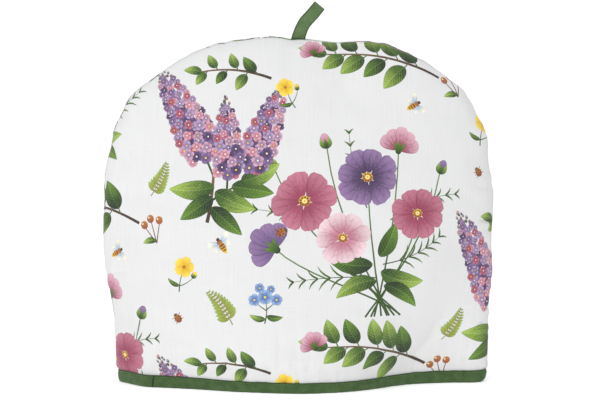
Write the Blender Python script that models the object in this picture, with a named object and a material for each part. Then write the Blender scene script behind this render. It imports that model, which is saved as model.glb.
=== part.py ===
"""A padded tea cosy standing on its bound hem.

Two padded dome-shaped cloth panels are sewn together along their curved edge, in the plane y = 0.
A folded tape binds the open hem all the way round, and a folded tape loop is caught in the seam at
the top.  Metres, +Z up, front towards -Y.  The origin is the middle of the hem's box, on the
surface that the cosy stands on.
"""

import math

import bpy

# Clearances and cloth
GAP = 0.0003                # between two pieces that touch
TAPE = 0.0012               # thickness of the folded tape, in the binding and in the loop
HEM_THICKNESS = 0.0048      # a panel where the binding presses it flat
PAD_THICKNESS = 0.0080      # a panel where the padding is free
PAD_RISE = 0.016            # height over which the padding swells above the binding
LIP_RADIUS = 0.010          # width of the padded roll beside the sewn edge
SEAM_MARGIN = 0.005         # width of the flat margin where the two panels meet
MARGIN_EASE = 0.008         # width over which the inner face leaves the margin

# Width and height of the whole and of its straight lower band
HALF_WIDTH = 0.1613         # middle to the widest place of the sewn edge
EDGE_TOP = 0.2823           # the sewn edge at the loop
BAND_TOP = 0.012            # below this height the walls stand straight
BINDING_HEIGHT = 0.0104
PANEL_BOTTOM = TAPE + GAP   # the panels' lower edge, just above the tape under it

# Ends of the open hem, to the left and right of the middle
HEM_LEFT = 0.1474
HEM_RIGHT = 0.1541

# Sewn edge: height, reach to the left of the middle, reach to the right
EDGE_ROWS = (
    (BAND_TOP, HEM_LEFT, HEM_RIGHT),
    (0.0150, 0.1490, 0.1552),
    (0.0200, 0.1501, 0.1562),
    (0.0370, 0.1514, 0.1573),
    (0.0570, 0.1525, 0.1578),
    (0.0720, 0.1554, 0.1585),
    (0.0900, 0.1586, 0.1603),
    (0.1110, 0.1605, 0.1597),
    (0.1290, 0.1606, 0.1599),
    (0.1500, 0.1595, HALF_WIDTH),
    (0.1700, 0.1588, 0.1590),
    (0.1850, 0.1564, 0.1570),
    (0.2000, 0.1526, 0.1558),
    (0.2100, 0.1501, 0.1532),
    (0.2200, 0.1453, 0.1474),
    (0.2310, 0.1403, 0.1420),
    (0.2360, 0.1370, 0.1386),
    (0.2410, 0.1312, 0.1354),
    (0.2510, 0.1171, 0.1224),
    (0.2605, 0.1037, 0.1099),
    (0.2650, 0.0969, 0.1031),
)

# Sewn edge over the crown, from right to left, as (x, z)
EDGE_CROWN = (
    (0.0898, 0.2713), (0.0763, 0.2776), (0.0667, 0.2797), (0.0571, 0.2806), (0.0426, 0.2806),
    (0.0283, 0.2800), (0.0160, 0.2812), (0.0070, EDGE_TOP), (0.0, EDGE_TOP), (-0.0070, EDGE_TOP),
    (-0.0165, 0.2838), (-0.0285, 0.2842), (-0.0427, 0.2819), (-0.0570, 0.2803), (-0.0711, 0.2771),
    (-0.0844, 0.2718),
)

# Open hem: place from left to right, depth of the inner face away from the seam plane.  The front
# swells out close to its left end and is pinched in a double curve towards its right end.
FRONT_HEM = (
    (-HEM_LEFT, 0.0000),
    (-0.1420, 0.0050),
    (-0.1250, 0.0240),
    (-0.1080, 0.0300),
    (-0.0800, 0.0385),
    (-0.0480, 0.0510),
    (0.0000, 0.0600),
    (0.0270, 0.0560),
    (0.0480, 0.0465),
    (0.0640, 0.0345),
    (0.0800, 0.0205),
    (0.0950, 0.0110),
    (0.1220, 0.0044),
    (0.1430, 0.0032),
    (HEM_RIGHT, 0.0000),
)
BACK_HEM = (
    (-HEM_LEFT, 0.0000),
    (-0.1400, 0.0060),
    (-0.1220, 0.0210),
    (-0.0850, 0.0430),
    (-0.0450, 0.0560),
    (0.0000, 0.0600),
    (0.0430, 0.0550),
    (0.0800, 0.0400),
    (0.1080, 0.0200),
    (0.1260, 0.0090),
    (0.1430, 0.0040),
    (HEM_RIGHT, 0.0000),
)
HEM_SPREAD = math.radians(42.0)   # how far round from the hem its own curve reaches up the panel
SIDE_FLATTENING = 0.22            # 0 is a plain rounded dome, more draws it in beside the seam

# Faces in each panel
COLUMNS = 34
ROWS = 28

# Ends of the hem: the binding's inner leg stops following the panels this many columns short
NOSE_COLUMNS = 3
NOSE_REACH = 0.0015         # how far its rounded nose goes on towards the seam

# Loop of tape: its middle line in the seam plane, from the seam up to the fold, as (x, z)
LOOP_SPINE = (
    (-0.0001, EDGE_TOP + GAP),
    (0.0016, 0.2870),
    (0.0050, 0.2944),
    (0.0119, 0.3023),
    (0.0178, 0.3094),
)
LOOP_WIDTH = 0.0106
LOOP_FOOT_WIDTH = 0.0117
LOOP_GAP = 0.0080           # between the two legs where they stand furthest apart
LOOP_FULLNESS = 1.6         # lower spreads the legs nearer to their feet
LOOP_SEWN = 0.0020          # height over which the two feet are sewn together
LOOP_TWIST = 0.012          # length over which the tape turns from the seam's line to square on
LOOP_STEPS = 14             # steps up each leg

# Colours: red, green, blue in linear light
PRINT_CLOTH = (0.80, 0.79, 0.77)
BACK_CLOTH = (0.78, 0.77, 0.75)
GREEN_TAPE = (0.080, 0.178, 0.060)
LOOP_TAPE = (0.094, 0.204, 0.075)


def smooth_value(rows, place):
    """Read a table of (place, value) rows at one place, on a smooth curve through the rows."""
    last = len(rows) - 1
    low = max(i for i in range(last) if i == 0 or rows[i][0] <= place)
    span = rows[low + 1][0] - rows[low][0]

    def slope(i):
        before, after = rows[max(i - 1, 0)], rows[min(i + 1, last)]
        return (after[1] - before[1]) / (after[0] - before[0])

    t = min(max((place - rows[low][0]) / span, 0.0), 1.0)
    start, end = rows[low][1], rows[low + 1][1]
    bend_in, bend_out = slope(low) * span, slope(low + 1) * span
    return (start * (2 * t**3 - 3 * t**2 + 1) + bend_in * (t**3 - 2 * t**2 + t)
            + end * (3 * t**2 - 2 * t**3) + bend_out * (t**3 - t**2))


def ease(t):
    """0 below 0, 1 above 1, and a smooth step between them."""
    t = min(max(t, 0.0), 1.0)
    return t * t * (3.0 - 2.0 * t)


def edge_in_polar():
    """The sewn edge as (angle, radius) rows about the hem's middle, from right over top to left."""
    right = [(reach, height) for height, _, reach in EDGE_ROWS]
    left = [(-reach, height) for height, reach, _ in EDGE_ROWS]
    points = right + list(EDGE_CROWN) + left[::-1]
    return [(math.atan2(z - BAND_TOP, x), math.hypot(x, z - BAND_TOP)) for x, z in points]


EDGE_POLAR = edge_in_polar()


def edge_distance(angle, fraction):
    """Distance to the sewn edge from the place at this fraction of the way out to it."""
    radius = smooth_value(EDGE_POLAR, angle)
    step = 0.01
    after, before = min(angle + step, math.pi), max(angle - step, 0.0)
    turn = (smooth_value(EDGE_POLAR, after) - smooth_value(EDGE_POLAR, before)) / (after - before)
    return (1.0 - fraction) * radius / math.sqrt(1.0 + (turn / radius) ** 2)


def inner_depth(hem, angle, fraction):
    """Depth of a panel's inner face behind its rounded form, before the margin is pressed flat."""
    across = hem[-1][0] if angle < math.pi / 2 else hem[0][0]
    near_hem = 1.0 - ease(min(angle, math.pi - angle) / HEM_SPREAD)
    crown = smooth_value(hem, 0.0)
    dome = crown * (1.0 - fraction**2) * (1.0 - SIDE_FLATTENING * fraction**2)
    along_hem = smooth_value(hem, fraction * across)
    return near_hem * along_hem + (1.0 - near_hem) * dome


def outer_face(hem, angle, fraction, height):
    """Depth of the outer face: the inner form, the padding and its roll down to the seam."""
    swell = ease((height - BAND_TOP) / PAD_RISE)
    padding = HEM_THICKNESS + (PAD_THICKNESS - HEM_THICKNESS) * swell
    inset = min(edge_distance(angle, fraction) / LIP_RADIUS, 1.0)
    return inner_depth(hem, angle, fraction) + padding * math.sqrt(1.0 - (1.0 - inset) ** 2)


def inner_face(hem, angle, fraction):
    """Depth of the inner face, which meets the seam plane along the flat margin."""
    clear = edge_distance(angle, fraction) - SEAM_MARGIN
    return inner_depth(hem, angle, fraction) * ease(clear / MARGIN_EASE)


def dome_place(across, up):
    """Angle and fraction of the way out for a place in the square -1..1 by 0..1."""
    disc_x = across * math.sqrt(1.0 - up**2 / 2.0)
    disc_z = up * math.sqrt(1.0 - across**2 / 2.0)
    width, height = HALF_WIDTH, EDGE_TOP - BAND_TOP
    return math.atan2(disc_z * height, disc_x * width), math.hypot(disc_x, disc_z)


def column_place(column):
    """-1 at the left edge to 1 at the right, with columns closer together at the edges."""
    return -math.cos(math.pi * column / COLUMNS)


def row_place(row):
    """0 at the top of the straight band to 1 at the top edge, closer together at both."""
    return (1.0 - math.cos(math.pi * row / ROWS)) / 2.0


def margin_shrink():
    """How much smaller the inner face is drawn, so that it stops at the seam margin."""
    return 1.0 - SEAM_MARGIN / HALF_WIDTH


def panel_point(hem, side, column, row, inner):
    """One point of a panel's outer or inner face; row -1 is its lower edge."""
    angle, fraction = dome_place(column_place(column), row_place(max(row, 0)))
    if inner:
        fraction *= margin_shrink()
    radius = fraction * smooth_value(EDGE_POLAR, angle)
    x, height = radius * math.cos(angle), BAND_TOP + radius * math.sin(angle)
    if inner:
        depth = inner_face(hem, angle, fraction)
    else:
        depth = outer_face(hem, angle, fraction, height)
    if row < 0:
        height = PANEL_BOTTOM
    return (x, side * (GAP / 2.0 + depth), height)


def make_material(name, colour, roughness):
    """A plain cloth finish."""
    material = bpy.data.materials.new(name)
    material.use_nodes = True
    shader = material.node_tree.nodes["Principled BSDF"]
    shader.inputs["Base Color"].default_value = (*colour, 1.0)
    shader.inputs["Roughness"].default_value = roughness
    shader.inputs["Metallic"].default_value = 0.0
    return material


def make_object(name, points, faces, material):
    """A named mesh object from points and faces, shaded smooth but for its sharp edges."""
    mesh = bpy.data.meshes.new(name)
    mesh.from_pydata(points, [], faces)
    mesh.validate()
    mesh.shade_smooth()
    mesh.set_sharp_from_angle(angle=math.radians(40.0))
    mesh.materials.append(material)
    shape = bpy.data.objects.new(name, mesh)
    bpy.context.scene.collection.objects.link(shape)
    return shape


def make_panel(name, hem, side, material):
    """One padded panel: outer and inner faces joined by the seam margin and the lower edge."""
    rows = range(-1, ROWS + 1)
    count = len(rows)
    outer = [panel_point(hem, side, c, r, False) for c in range(COLUMNS + 1) for r in rows]
    inner = [panel_point(hem, side, c, r, True) for c in range(COLUMNS + 1) for r in rows]

    def at(column, row, layer):
        return layer * len(outer) + column * count + row

    faces = []
    for c in range(COLUMNS):
        for r in range(count - 1):
            faces.append((at(c, r, 0), at(c + 1, r, 0), at(c + 1, r + 1, 0), at(c, r + 1, 0)))
            faces.append((at(c, r, 1), at(c, r + 1, 1), at(c + 1, r + 1, 1), at(c + 1, r, 1)))
    rim = [(c, 0) for c in range(COLUMNS + 1)]
    rim += [(COLUMNS, r) for r in range(1, count)]
    rim += [(c, count - 1) for c in range(COLUMNS - 1, -1, -1)]
    rim += [(0, r) for r in range(count - 2, 0, -1)]
    for (c, r), (next_c, next_r) in zip(rim, rim[1:] + rim[:1]):
        faces.append((at(c, r, 0), at(c, r, 1), at(next_c, next_r, 1), at(next_c, next_r, 0)))
    if side > 0:
        faces = [face[::-1] for face in faces]
    return make_object(name, outer + inner, faces, material)


def hem_stations():
    """Places round the hem, as (hem table, side, column), from the left end along the front."""
    front = [(FRONT_HEM, -1.0, column) for column in range(COLUMNS)]
    back = [(BACK_HEM, 1.0, column) for column in range(COLUMNS, 0, -1)]
    return front + back


def outer_hem_point(hem, side, column):
    """Where the panels' outer face meets the floor plan, on the seam plane at the two ends."""
    x, y, _ = panel_point(hem, side, column, -1, False)
    return (x, 0.0 if column in (0, COLUMNS) else y)


def inner_hem_point(hem, side, column):
    """The panels' inner face in plan, cut short by a rounded nose at each end of the hem."""
    from_end = min(column, COLUMNS - column)
    if from_end >= NOSE_COLUMNS:
        return panel_point(hem, side, column, -1, True)[:2]
    turn = NOSE_COLUMNS if column < NOSE_COLUMNS else COLUMNS - NOSE_COLUMNS
    x, y, _ = panel_point(hem, side, turn, -1, True)
    share = from_end / NOSE_COLUMNS
    return (x + math.copysign(NOSE_REACH * (1.0 - share**2), x), y * share)


def offset_loop(points, distance, least=0.0):
    """A closed plan curve moved sideways, outwards when distance is above 0."""
    moved = []
    for i, (x, y) in enumerate(points):
        before, after = points[i - 1], points[(i + 1) % len(points)]
        run, rise = after[0] - before[0], after[1] - before[1]
        length = math.hypot(run, rise)
        new_x, new_y = x + distance * rise / length, y - distance * run / length
        if least and y != 0.0:
            new_y = math.copysign(max(abs(new_y), least), y)
        moved.append((new_x, new_y))
    return moved


def make_binding(name, material):
    """The tape round the hem: a closed ring whose section is an upright U over the panels' edge."""
    stations = hem_stations()
    outer = [outer_hem_point(*place) for place in stations]
    inner = [inner_hem_point(*place) for place in stations]
    roll = TAPE * 0.9
    # ring of (plan curve, height), round the section from the outer leg's top
    rings = (
        (offset_loop(outer, GAP), BINDING_HEIGHT),
        (offset_loop(outer, GAP + TAPE * 0.8), BINDING_HEIGHT),
        (offset_loop(outer, GAP + TAPE), BINDING_HEIGHT - TAPE * 0.5),
        (offset_loop(outer, GAP + TAPE), roll),
        (offset_loop(outer, GAP + TAPE - roll), 0.0),
        (offset_loop(inner, -GAP - TAPE + roll, GAP), 0.0),
        (offset_loop(inner, -GAP - TAPE, GAP), roll),
        (offset_loop(inner, -GAP - TAPE, GAP), BINDING_HEIGHT),
        (offset_loop(inner, -GAP, GAP + TAPE), BINDING_HEIGHT),
        (offset_loop(inner, -GAP, GAP + TAPE), TAPE),
        (offset_loop(outer, GAP), TAPE),
    )
    count = len(stations)
    points = [(x, y, height) for plan, height in rings for x, y in plan]
    faces = []
    for ring in range(len(rings)):
        below = (ring + 1) % len(rings)
        for i in range(count):
            nxt = (i + 1) % count
            faces.append((ring * count + i, below * count + i, below * count + nxt,
                          ring * count + nxt))
    return make_object(name, points, faces, material)


def spine_frame(distance):
    """Middle point and side direction of the loop's tape at a distance above its foot."""
    travelled = [0.0]
    for start, end in zip(LOOP_SPINE, LOOP_SPINE[1:]):
        travelled.append(travelled[-1] + math.dist(start, end))
    along_x = [(s, x) for s, (x, _) in zip(travelled, LOOP_SPINE)]
    along_z = [(s, z) for s, (_, z) in zip(travelled, LOOP_SPINE)]
    place = min(distance, travelled[-1])
    step = 0.0005
    x, z = smooth_value(along_x, place), smooth_value(along_z, place)
    run = x - smooth_value(along_x, place - step)
    rise = z - smooth_value(along_z, place - step)
    lean = math.atan2(run, rise) if place > step else 0.0
    lean *= ease(distance / LOOP_TWIST)
    return (x, z), (math.cos(lean), -math.sin(lean))


def spine_length():
    """Length of the loop from its foot to its fold."""
    return sum(math.dist(start, end) for start, end in zip(LOOP_SPINE, LOOP_SPINE[1:]))


def loop_section():
    """The loop seen edge on, front foot to back foot: outer and inner rows of (distance, y)."""
    reach = spine_length() - TAPE - LOOP_SEWN
    fullest = math.atan(1.0 / math.sqrt(LOOP_FULLNESS))
    widest = math.sin(fullest) * math.cos(fullest) ** LOOP_FULLNESS
    inner = []
    for step in range(2 * LOOP_STEPS + 1):
        half_turn = math.pi / 2.0 * (step / LOOP_STEPS - 1.0)
        sway = math.sin(half_turn) * abs(math.cos(half_turn)) ** LOOP_FULLNESS
        up = LOOP_SEWN + reach * math.cos(half_turn) ** 2
        inner.append((up, sway / widest * LOOP_GAP / 2.0))
    outer = [(0.0, -TAPE)]
    for before, here, after in zip(inner, inner[1:], inner[2:]):
        rise, run = after[0] - before[0], after[1] - before[1]
        length = math.hypot(rise, run)
        outer.append((here[0] + TAPE * run / length, here[1] - TAPE * rise / length))
    outer.append((0.0, TAPE))
    return outer, inner[:-1]


def make_loop(name, material):
    """The hanging loop: one length of tape folded over, its two feet sewn together in the seam."""
    outer, inner = loop_section()
    points = []
    for edge in (-1.0, 1.0):
        for distance, y in outer + inner:
            (x, z), (side_x, side_z) = spine_frame(distance)
            width = LOOP_FOOT_WIDTH + (LOOP_WIDTH - LOOP_FOOT_WIDTH) * ease(distance / LOOP_TWIST)
            half = edge * width / 2.0
            points.append((x + side_x * half, y, z + side_z * half))
    layer, turns = len(outer) + len(inner), 2 * LOOP_STEPS

    def out(step, edge):
        return edge * layer + step

    def into(step, edge):
        return edge * layer + len(outer) + step % turns

    faces = [(out(turns, 0), out(turns, 1), out(0, 1), out(0, 0))]
    faces += [(into(0, 0), out(turns, 0), out(0, 0)), (into(0, 1), out(0, 1), out(turns, 1))]
    for s in range(turns):
        faces.append((out(s, 1), out(s + 1, 1), out(s + 1, 0), out(s, 0)))
        faces.append((into(s, 0), into(s + 1, 0), into(s + 1, 1), into(s, 1)))
        faces.append((into(s + 1, 0), into(s, 0), out(s, 0), out(s + 1, 0)))
        faces.append((into(s + 1, 1), out(s + 1, 1), out(s, 1), into(s, 1)))
    return make_object(name, points, faces, material)


bpy.ops.object.select_all(action="DESELECT")
for old in list(bpy.data.objects):
    bpy.data.objects.remove(old, do_unlink=True)

front_cloth = make_material("front_cloth", PRINT_CLOTH, 0.92)
back_cloth = make_material("back_cloth", BACK_CLOTH, 0.92)
binding_tape = make_material("binding_tape", GREEN_TAPE, 0.85)
loop_tape = make_material("loop_tape", LOOP_TAPE, 0.85)

make_panel("front_panel", FRONT_HEM, -1.0, front_cloth)
make_panel("back_panel", BACK_HEM, 1.0, back_cloth)
make_binding("hem_binding", binding_tape)
make_loop("hanging_loop", loop_tape)
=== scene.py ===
import math
import random

import bpy
import numpy as np
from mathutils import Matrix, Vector
from mathutils.geometry import delaunay_2d_cdt


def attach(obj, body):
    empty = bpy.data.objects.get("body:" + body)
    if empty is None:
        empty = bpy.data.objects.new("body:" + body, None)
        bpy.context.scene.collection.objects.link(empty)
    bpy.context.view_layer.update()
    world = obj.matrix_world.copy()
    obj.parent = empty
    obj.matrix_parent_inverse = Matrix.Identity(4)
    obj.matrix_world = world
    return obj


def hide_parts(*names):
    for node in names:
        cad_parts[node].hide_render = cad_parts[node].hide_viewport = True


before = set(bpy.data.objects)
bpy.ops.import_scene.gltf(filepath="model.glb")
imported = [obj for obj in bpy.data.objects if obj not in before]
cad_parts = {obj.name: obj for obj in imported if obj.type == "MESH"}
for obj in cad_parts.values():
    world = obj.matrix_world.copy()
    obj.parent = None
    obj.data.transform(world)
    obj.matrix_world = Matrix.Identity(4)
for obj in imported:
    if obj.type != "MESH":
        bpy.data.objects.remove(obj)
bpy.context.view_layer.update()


# The two padded panels
# Each is printed cotton, wadding and a plain cotton lining cut to one dome and sewn together
# round the curve, right sides in, then turned out, so the curve is a rolled lip with no piping.
# The cloth is printed in a repeat before it is cut, so the seam and the hem cut through motifs.

GAP = 0.0003                # between pieces that touch
TAPE = 0.0012               # folded tape, two layers
HEM_THICKNESS = 0.0048      # a panel pressed flat inside the binding
PAD_THICKNESS = 0.0080      # a panel above the binding
PAD_RISE = 0.016            # height over which the padding swells from one to the other
LIP_RADIUS = 0.010          # how far in from the seam the outer face starts to roll over
SEAM_MARGIN = 0.005         # pressed flat beside the seam, inside
MARGIN_EASE = 0.008         # and from there the lining rises over this
HALF_WIDTH = 0.1613         # the seam's furthest reach
EDGE_TOP = 0.2823           # height of the seam at its middle
BAND_TOP = 0.012            # the panels stand upright up to here
BINDING_HEIGHT = 0.0104     # top of the tape round the hem
PANEL_BOTTOM = TAPE + GAP   # the panels stand in the fold of the tape
HEM_LEFT = 0.1474           # the hem's two ends
HEM_RIGHT = 0.1541
HEM_SPREAD = math.radians(42.0)     # the angle up to which a panel's form follows its hem's curve
SIDE_FLATTENING = 0.22      # how much flatter than a plain dome it is beside the seam
# the sewn edge from the hem up: (height, reach to the left, reach to the right)
EDGE_ROWS = (
    (BAND_TOP, HEM_LEFT, HEM_RIGHT),
    (0.0150, 0.1490, 0.1552),
    (0.0200, 0.1501, 0.1562),
    (0.0370, 0.1514, 0.1573),
    (0.0570, 0.1525, 0.1578),
    (0.0720, 0.1554, 0.1585),
    (0.0900, 0.1586, 0.1603),
    (0.1110, 0.1605, 0.1597),
    (0.1290, 0.1606, 0.1599),
    (0.1500, 0.1595, HALF_WIDTH),
    (0.1700, 0.1588, 0.1590),
    (0.1850, 0.1564, 0.1570),
    (0.2000, 0.1526, 0.1558),
    (0.2100, 0.1501, 0.1532),
    (0.2200, 0.1453, 0.1474),
    (0.2310, 0.1403, 0.1420),
    (0.2360, 0.1370, 0.1386),
    (0.2410, 0.1312, 0.1354),
    (0.2510, 0.1171, 0.1224),
    (0.2605, 0.1037, 0.1099),
    (0.2650, 0.0969, 0.1031),
)
# and over the crown, from right to left, as (x, z)
EDGE_CROWN = (
    (0.0898, 0.2713), (0.0763, 0.2776), (0.0667, 0.2797), (0.0571, 0.2806), (0.0426, 0.2806),
    (0.0283, 0.2800), (0.0160, 0.2812), (0.0070, EDGE_TOP), (0.0, EDGE_TOP), (-0.0070, EDGE_TOP),
    (-0.0165, 0.2838), (-0.0285, 0.2842), (-0.0427, 0.2819), (-0.0570, 0.2803), (-0.0711, 0.2771),
    (-0.0844, 0.2718),
)
# the curve of each panel's inner face along the hem: (x, distance from the seam plane)
FRONT_HEM = (
    (-HEM_LEFT, 0.0), (-0.1420, 0.0050), (-0.1250, 0.0240), (-0.1080, 0.0300),
    (-0.0800, 0.0385), (-0.0480, 0.0510), (0.0, 0.0600), (0.0270, 0.0560),
    (0.0480, 0.0465), (0.0640, 0.0345), (0.0800, 0.0205), (0.0950, 0.0110),
    (0.1220, 0.0044), (0.1430, 0.0032), (HEM_RIGHT, 0.0),
)
BACK_HEM = (
    (-HEM_LEFT, 0.0), (-0.1400, 0.0060), (-0.1220, 0.0210), (-0.0850, 0.0430),
    (-0.0450, 0.0560), (0.0, 0.0600), (0.0430, 0.0550), (0.0800, 0.0400),
    (0.1080, 0.0200), (0.1260, 0.0090), (0.1430, 0.0040), (HEM_RIGHT, 0.0),
)
FRONT, BACK = -1.0, 1.0     # which side of the seam plane a panel is on
MM = 0.001                  # places on the flat cloth are in millimetres
CORNER_LEFT, CORNER_RIGHT = 0.0034, 0.0062  # how rounded the hem's two lower corners are


def smooth_values(rows, places):
    """Read a table of (place, value) rows on a smooth curve through the rows."""
    at, value = np.array(rows).T
    slope = np.empty_like(value)
    slope[1:-1] = (value[2:] - value[:-2]) / (at[2:] - at[:-2])
    slope[0] = (value[1] - value[0]) / (at[1] - at[0])
    slope[-1] = (value[-1] - value[-2]) / (at[-1] - at[-2])
    low = np.clip(np.searchsorted(at, places, side="right") - 1, 0, len(at) - 2)
    span = at[low + 1] - at[low]
    t = np.clip((places - at[low]) / span, 0.0, 1.0)
    return (value[low] * (2 * t**3 - 3 * t**2 + 1)
            + slope[low] * span * (t**3 - 2 * t**2 + t)
            + value[low + 1] * (3 * t**2 - 2 * t**3)
            + slope[low + 1] * span * (t**3 - t**2))


def ease(t):
    """0 below 0, 1 above 1, and a smooth step between them."""
    t = np.clip(t, 0.0, 1.0)
    return t * t * (3.0 - 2.0 * t)


def edge_in_polar():
    """The sewn edge as (angle, radius) rows about the hem's middle, from right over top to left."""
    right = [(reach, height) for height, _, reach in EDGE_ROWS]
    left = [(-reach, height) for height, reach, _ in EDGE_ROWS]
    points = right + list(EDGE_CROWN) + left[::-1]
    return [(math.atan2(z - BAND_TOP, x), math.hypot(x, z - BAND_TOP)) for x, z in points]


EDGE_POLAR = edge_in_polar()


def edge_distance(angle, fraction):
    """Distance to the sewn edge from the place at this fraction of the way out to it."""
    radius = smooth_values(EDGE_POLAR, angle)
    step = 0.01
    after, before = np.minimum(angle + step, math.pi), np.maximum(angle - step, 0.0)
    turn = smooth_values(EDGE_POLAR, after) - smooth_values(EDGE_POLAR, before)
    turn = turn / (after - before)
    return (1.0 - fraction) * radius / np.sqrt(1.0 + (turn / radius) ** 2)


def inner_depth(hem, angle, fraction):
    """Depth of a panel's rounded form behind its padding."""
    across = np.where(angle < math.pi / 2, hem[-1][0], hem[0][0])
    near_hem = 1.0 - ease(np.minimum(angle, math.pi - angle) / HEM_SPREAD)
    crown = smooth_values(hem, np.zeros(1))
    dome = crown * (1.0 - fraction**2) * (1.0 - SIDE_FLATTENING * fraction**2)
    along_hem = smooth_values(hem, fraction * across)
    return near_hem * along_hem + (1.0 - near_hem) * dome


def outer_depth(hem, angle, fraction, height):
    """Depth of the outer face: the rounded form, the padding and its roll down to the seam."""
    swell = ease((height - BAND_TOP) / PAD_RISE)
    padding = HEM_THICKNESS + (PAD_THICKNESS - HEM_THICKNESS) * swell
    inset = np.clip(edge_distance(angle, fraction) / LIP_RADIUS, 0.0, 1.0)
    return inner_depth(hem, angle, fraction) + padding * np.sqrt(1.0 - (1.0 - inset) ** 2)


def lining_depth(hem, angle, fraction):
    """Depth of the lining, which meets the seam plane along the flat margin."""
    clear = edge_distance(angle, fraction) - SEAM_MARGIN
    return inner_depth(hem, angle, fraction) * ease(clear / MARGIN_EASE)


def on_dome(hem, side, angle, fraction, lining=False):
    """The points of a panel's outer face or lining at these angles and fractions of the way out."""
    if lining:
        fraction = fraction * (1.0 - SEAM_MARGIN / HALF_WIDTH)
    radius = fraction * smooth_values(EDGE_POLAR, angle)
    x, z = radius * np.cos(angle), BAND_TOP + radius * np.sin(angle)
    if lining:
        depth = lining_depth(hem, angle, fraction)
    else:
        depth = outer_depth(hem, angle, fraction, z)
    return np.stack([x, side * (GAP / 2.0 + depth), z], axis=-1)


RULER_ANGLES = np.linspace(0.0, math.pi, 361)
RULER_SHARES = np.linspace(0.0, 1.0, 601)


def cloth_ruler(hem):
    """For each angle, the cloth's length to its edge in mm, and the fractions at even shares."""
    fractions = 1.0 - (1.0 - RULER_SHARES) ** 2
    points = on_dome(hem, FRONT, *np.meshgrid(RULER_ANGLES, fractions, indexing="ij"))
    steps = np.linalg.norm(np.diff(points, axis=1), axis=-1) / MM
    lengths = np.pad(np.cumsum(steps, axis=1), ((0, 0), (1, 0)))
    even = [np.interp(RULER_SHARES, row / row[-1], fractions) for row in lengths]
    return lengths[:, -1], np.array(even)


HEMS = {FRONT: FRONT_HEM, BACK: BACK_HEM}
RULERS = {side: cloth_ruler(hem) for side, hem in HEMS.items()}


def edge_reach(side, angle):
    """Length of cloth from the hem's middle to the sewn edge, in mm."""
    return np.interp(angle, RULER_ANGLES, RULERS[side][0])


def in_cells(places, count):
    """Lower cell and the share of the way across it, for places 0..1 on a row of this length."""
    spot = np.clip(places, 0.0, 1.0) * (count - 1)
    cell = np.minimum(spot.astype(int), count - 2)
    return cell, spot - cell


def read_grid(grid, down, across):
    """Values of a grid at places 0..1 down and across it, smooth within each cell."""
    row, part = in_cells(down, grid.shape[0])
    column, rest = in_cells(across, grid.shape[1])
    upper = grid[row, column] * (1.0 - rest) + grid[row, column + 1] * rest
    lower = grid[row + 1, column] * (1.0 - rest) + grid[row + 1, column + 1] * rest
    return upper * (1.0 - part) + lower * part


def lifted(x, z):
    """How much higher a point of the hem lies because its two lower corners are rounded off."""
    lift = 0.0 * x
    for end, radius in ((HEM_RIGHT + TAPE, CORNER_RIGHT), (-HEM_LEFT - TAPE, CORNER_LEFT)):
        near = np.clip(1.0 - (abs(end) - x * math.copysign(1.0, end)) / radius, 0.0, 1.0)
        lift = lift + radius * (1.0 - np.sqrt(1.0 - near**2))
    return lift * np.clip(1.0 - z / BINDING_HEIGHT, 0.0, 1.0)


def on_cloth(side, places, lining=False):
    """Where places on the flat cloth lie on the panel; below 0 is the upright band at the hem."""
    across, up = places[:, 0], np.maximum(places[:, 1], 0.0)
    angle = np.arctan2(up, across)
    share = np.hypot(across, up) / edge_reach(side, angle)
    fraction = read_grid(RULERS[side][1], angle / math.pi, share)
    points = on_dome(HEMS[side], side, angle, fraction, lining)
    points[:, 2] += np.minimum(places[:, 1], 0.0) * MM
    points[:, 2] += lifted(points[:, 0], points[:, 2])
    return points


# The print is drawn flat, in mm, as places x + 1j * z on the cloth. Every petal, leaf and stem is
# a shape with a line down its middle, so that its ink can follow that line.
INK = {
    "shell": (232, 206, 212), "blush": (214, 168, 182), "rose": (188, 116, 136),
    "cerise": (152, 62, 90), "lilac": (182, 162, 194), "mauve": (142, 114, 156),
    "violet": (104, 80, 128), "plum": (70, 48, 86), "sky": (150, 178, 212),
    "cornflower": (84, 114, 172), "butter": (244, 216, 84),
    "gold": (226, 182, 30), "amber": (184, 118, 40), "rust": (156, 84, 52),
    "bark": (126, 88, 58), "umber": (70, 50, 36), "moss": (54, 86, 20),
    "leaf": (96, 134, 36), "fresh": (152, 180, 76), "pine": (30, 56, 14),
    "olive": (142, 144, 60), "cream": (246, 240, 214),
}
# how each kind of shape is inked: side veins, fine strokes along it, pen line round it
LEAF, PETAL, STEM, DOT = (1.0, 0.6, 0.9), (0.0, 1.0, 0.9), (0.0, 0.5, 0.7), (0.0, 0.15, 0.4)
WING = (0.5, 0.6, 1.0)
GREEN, BRIGHT, DEEP = ("moss", "leaf"), ("moss", "fresh"), ("pine", "leaf")     # root, tip
WOOD, BLACK = ("umber", "bark"), ("umber", "umber")
CREPE = 0.07                # how far petals and leaves stray from their set size
brush = random.Random(11)
shapes = []                 # the repeat's shapes in the order in which they are printed


def along(points, t):
    """Places on the curve that a few points pull, from the first at 0 to the last at 1."""
    points = [np.asarray(point, complex) for point in points]
    while len(points) > 1:
        points = [a + (b - a) * t for a, b in zip(points, points[1:])]
    return points[0] + 0.0 * t


def placed(at, origin, turn=0.0, size=1.0):
    """A way of placing a motif within another: turned in degrees, scaled and moved."""
    spin = size * np.exp(1j * math.radians(turn))
    return lambda point: at(origin + spin * np.asarray(point, complex))


def add_shape(outline, reader, inks, manner):
    """Keep one inked shape; reader gives (along 0..1, along mm, across mm, half width mm)."""
    tone = 1.0 + brush.uniform(-CREPE, CREPE)
    root, tip = ([tone * (c / 255.0) ** 2.2 for c in INK[ink]] for ink in inks)
    shapes.append((outline, reader, root, tip, manner))


def swelling(run, fore, aft):
    """Width along a petal or leaf as a share of its widest, from its two ends' powers."""
    widest = fore / (fore + aft)
    return run**fore * (1.0 - run) ** aft / (widest**fore * (1.0 - widest) ** aft)


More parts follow.
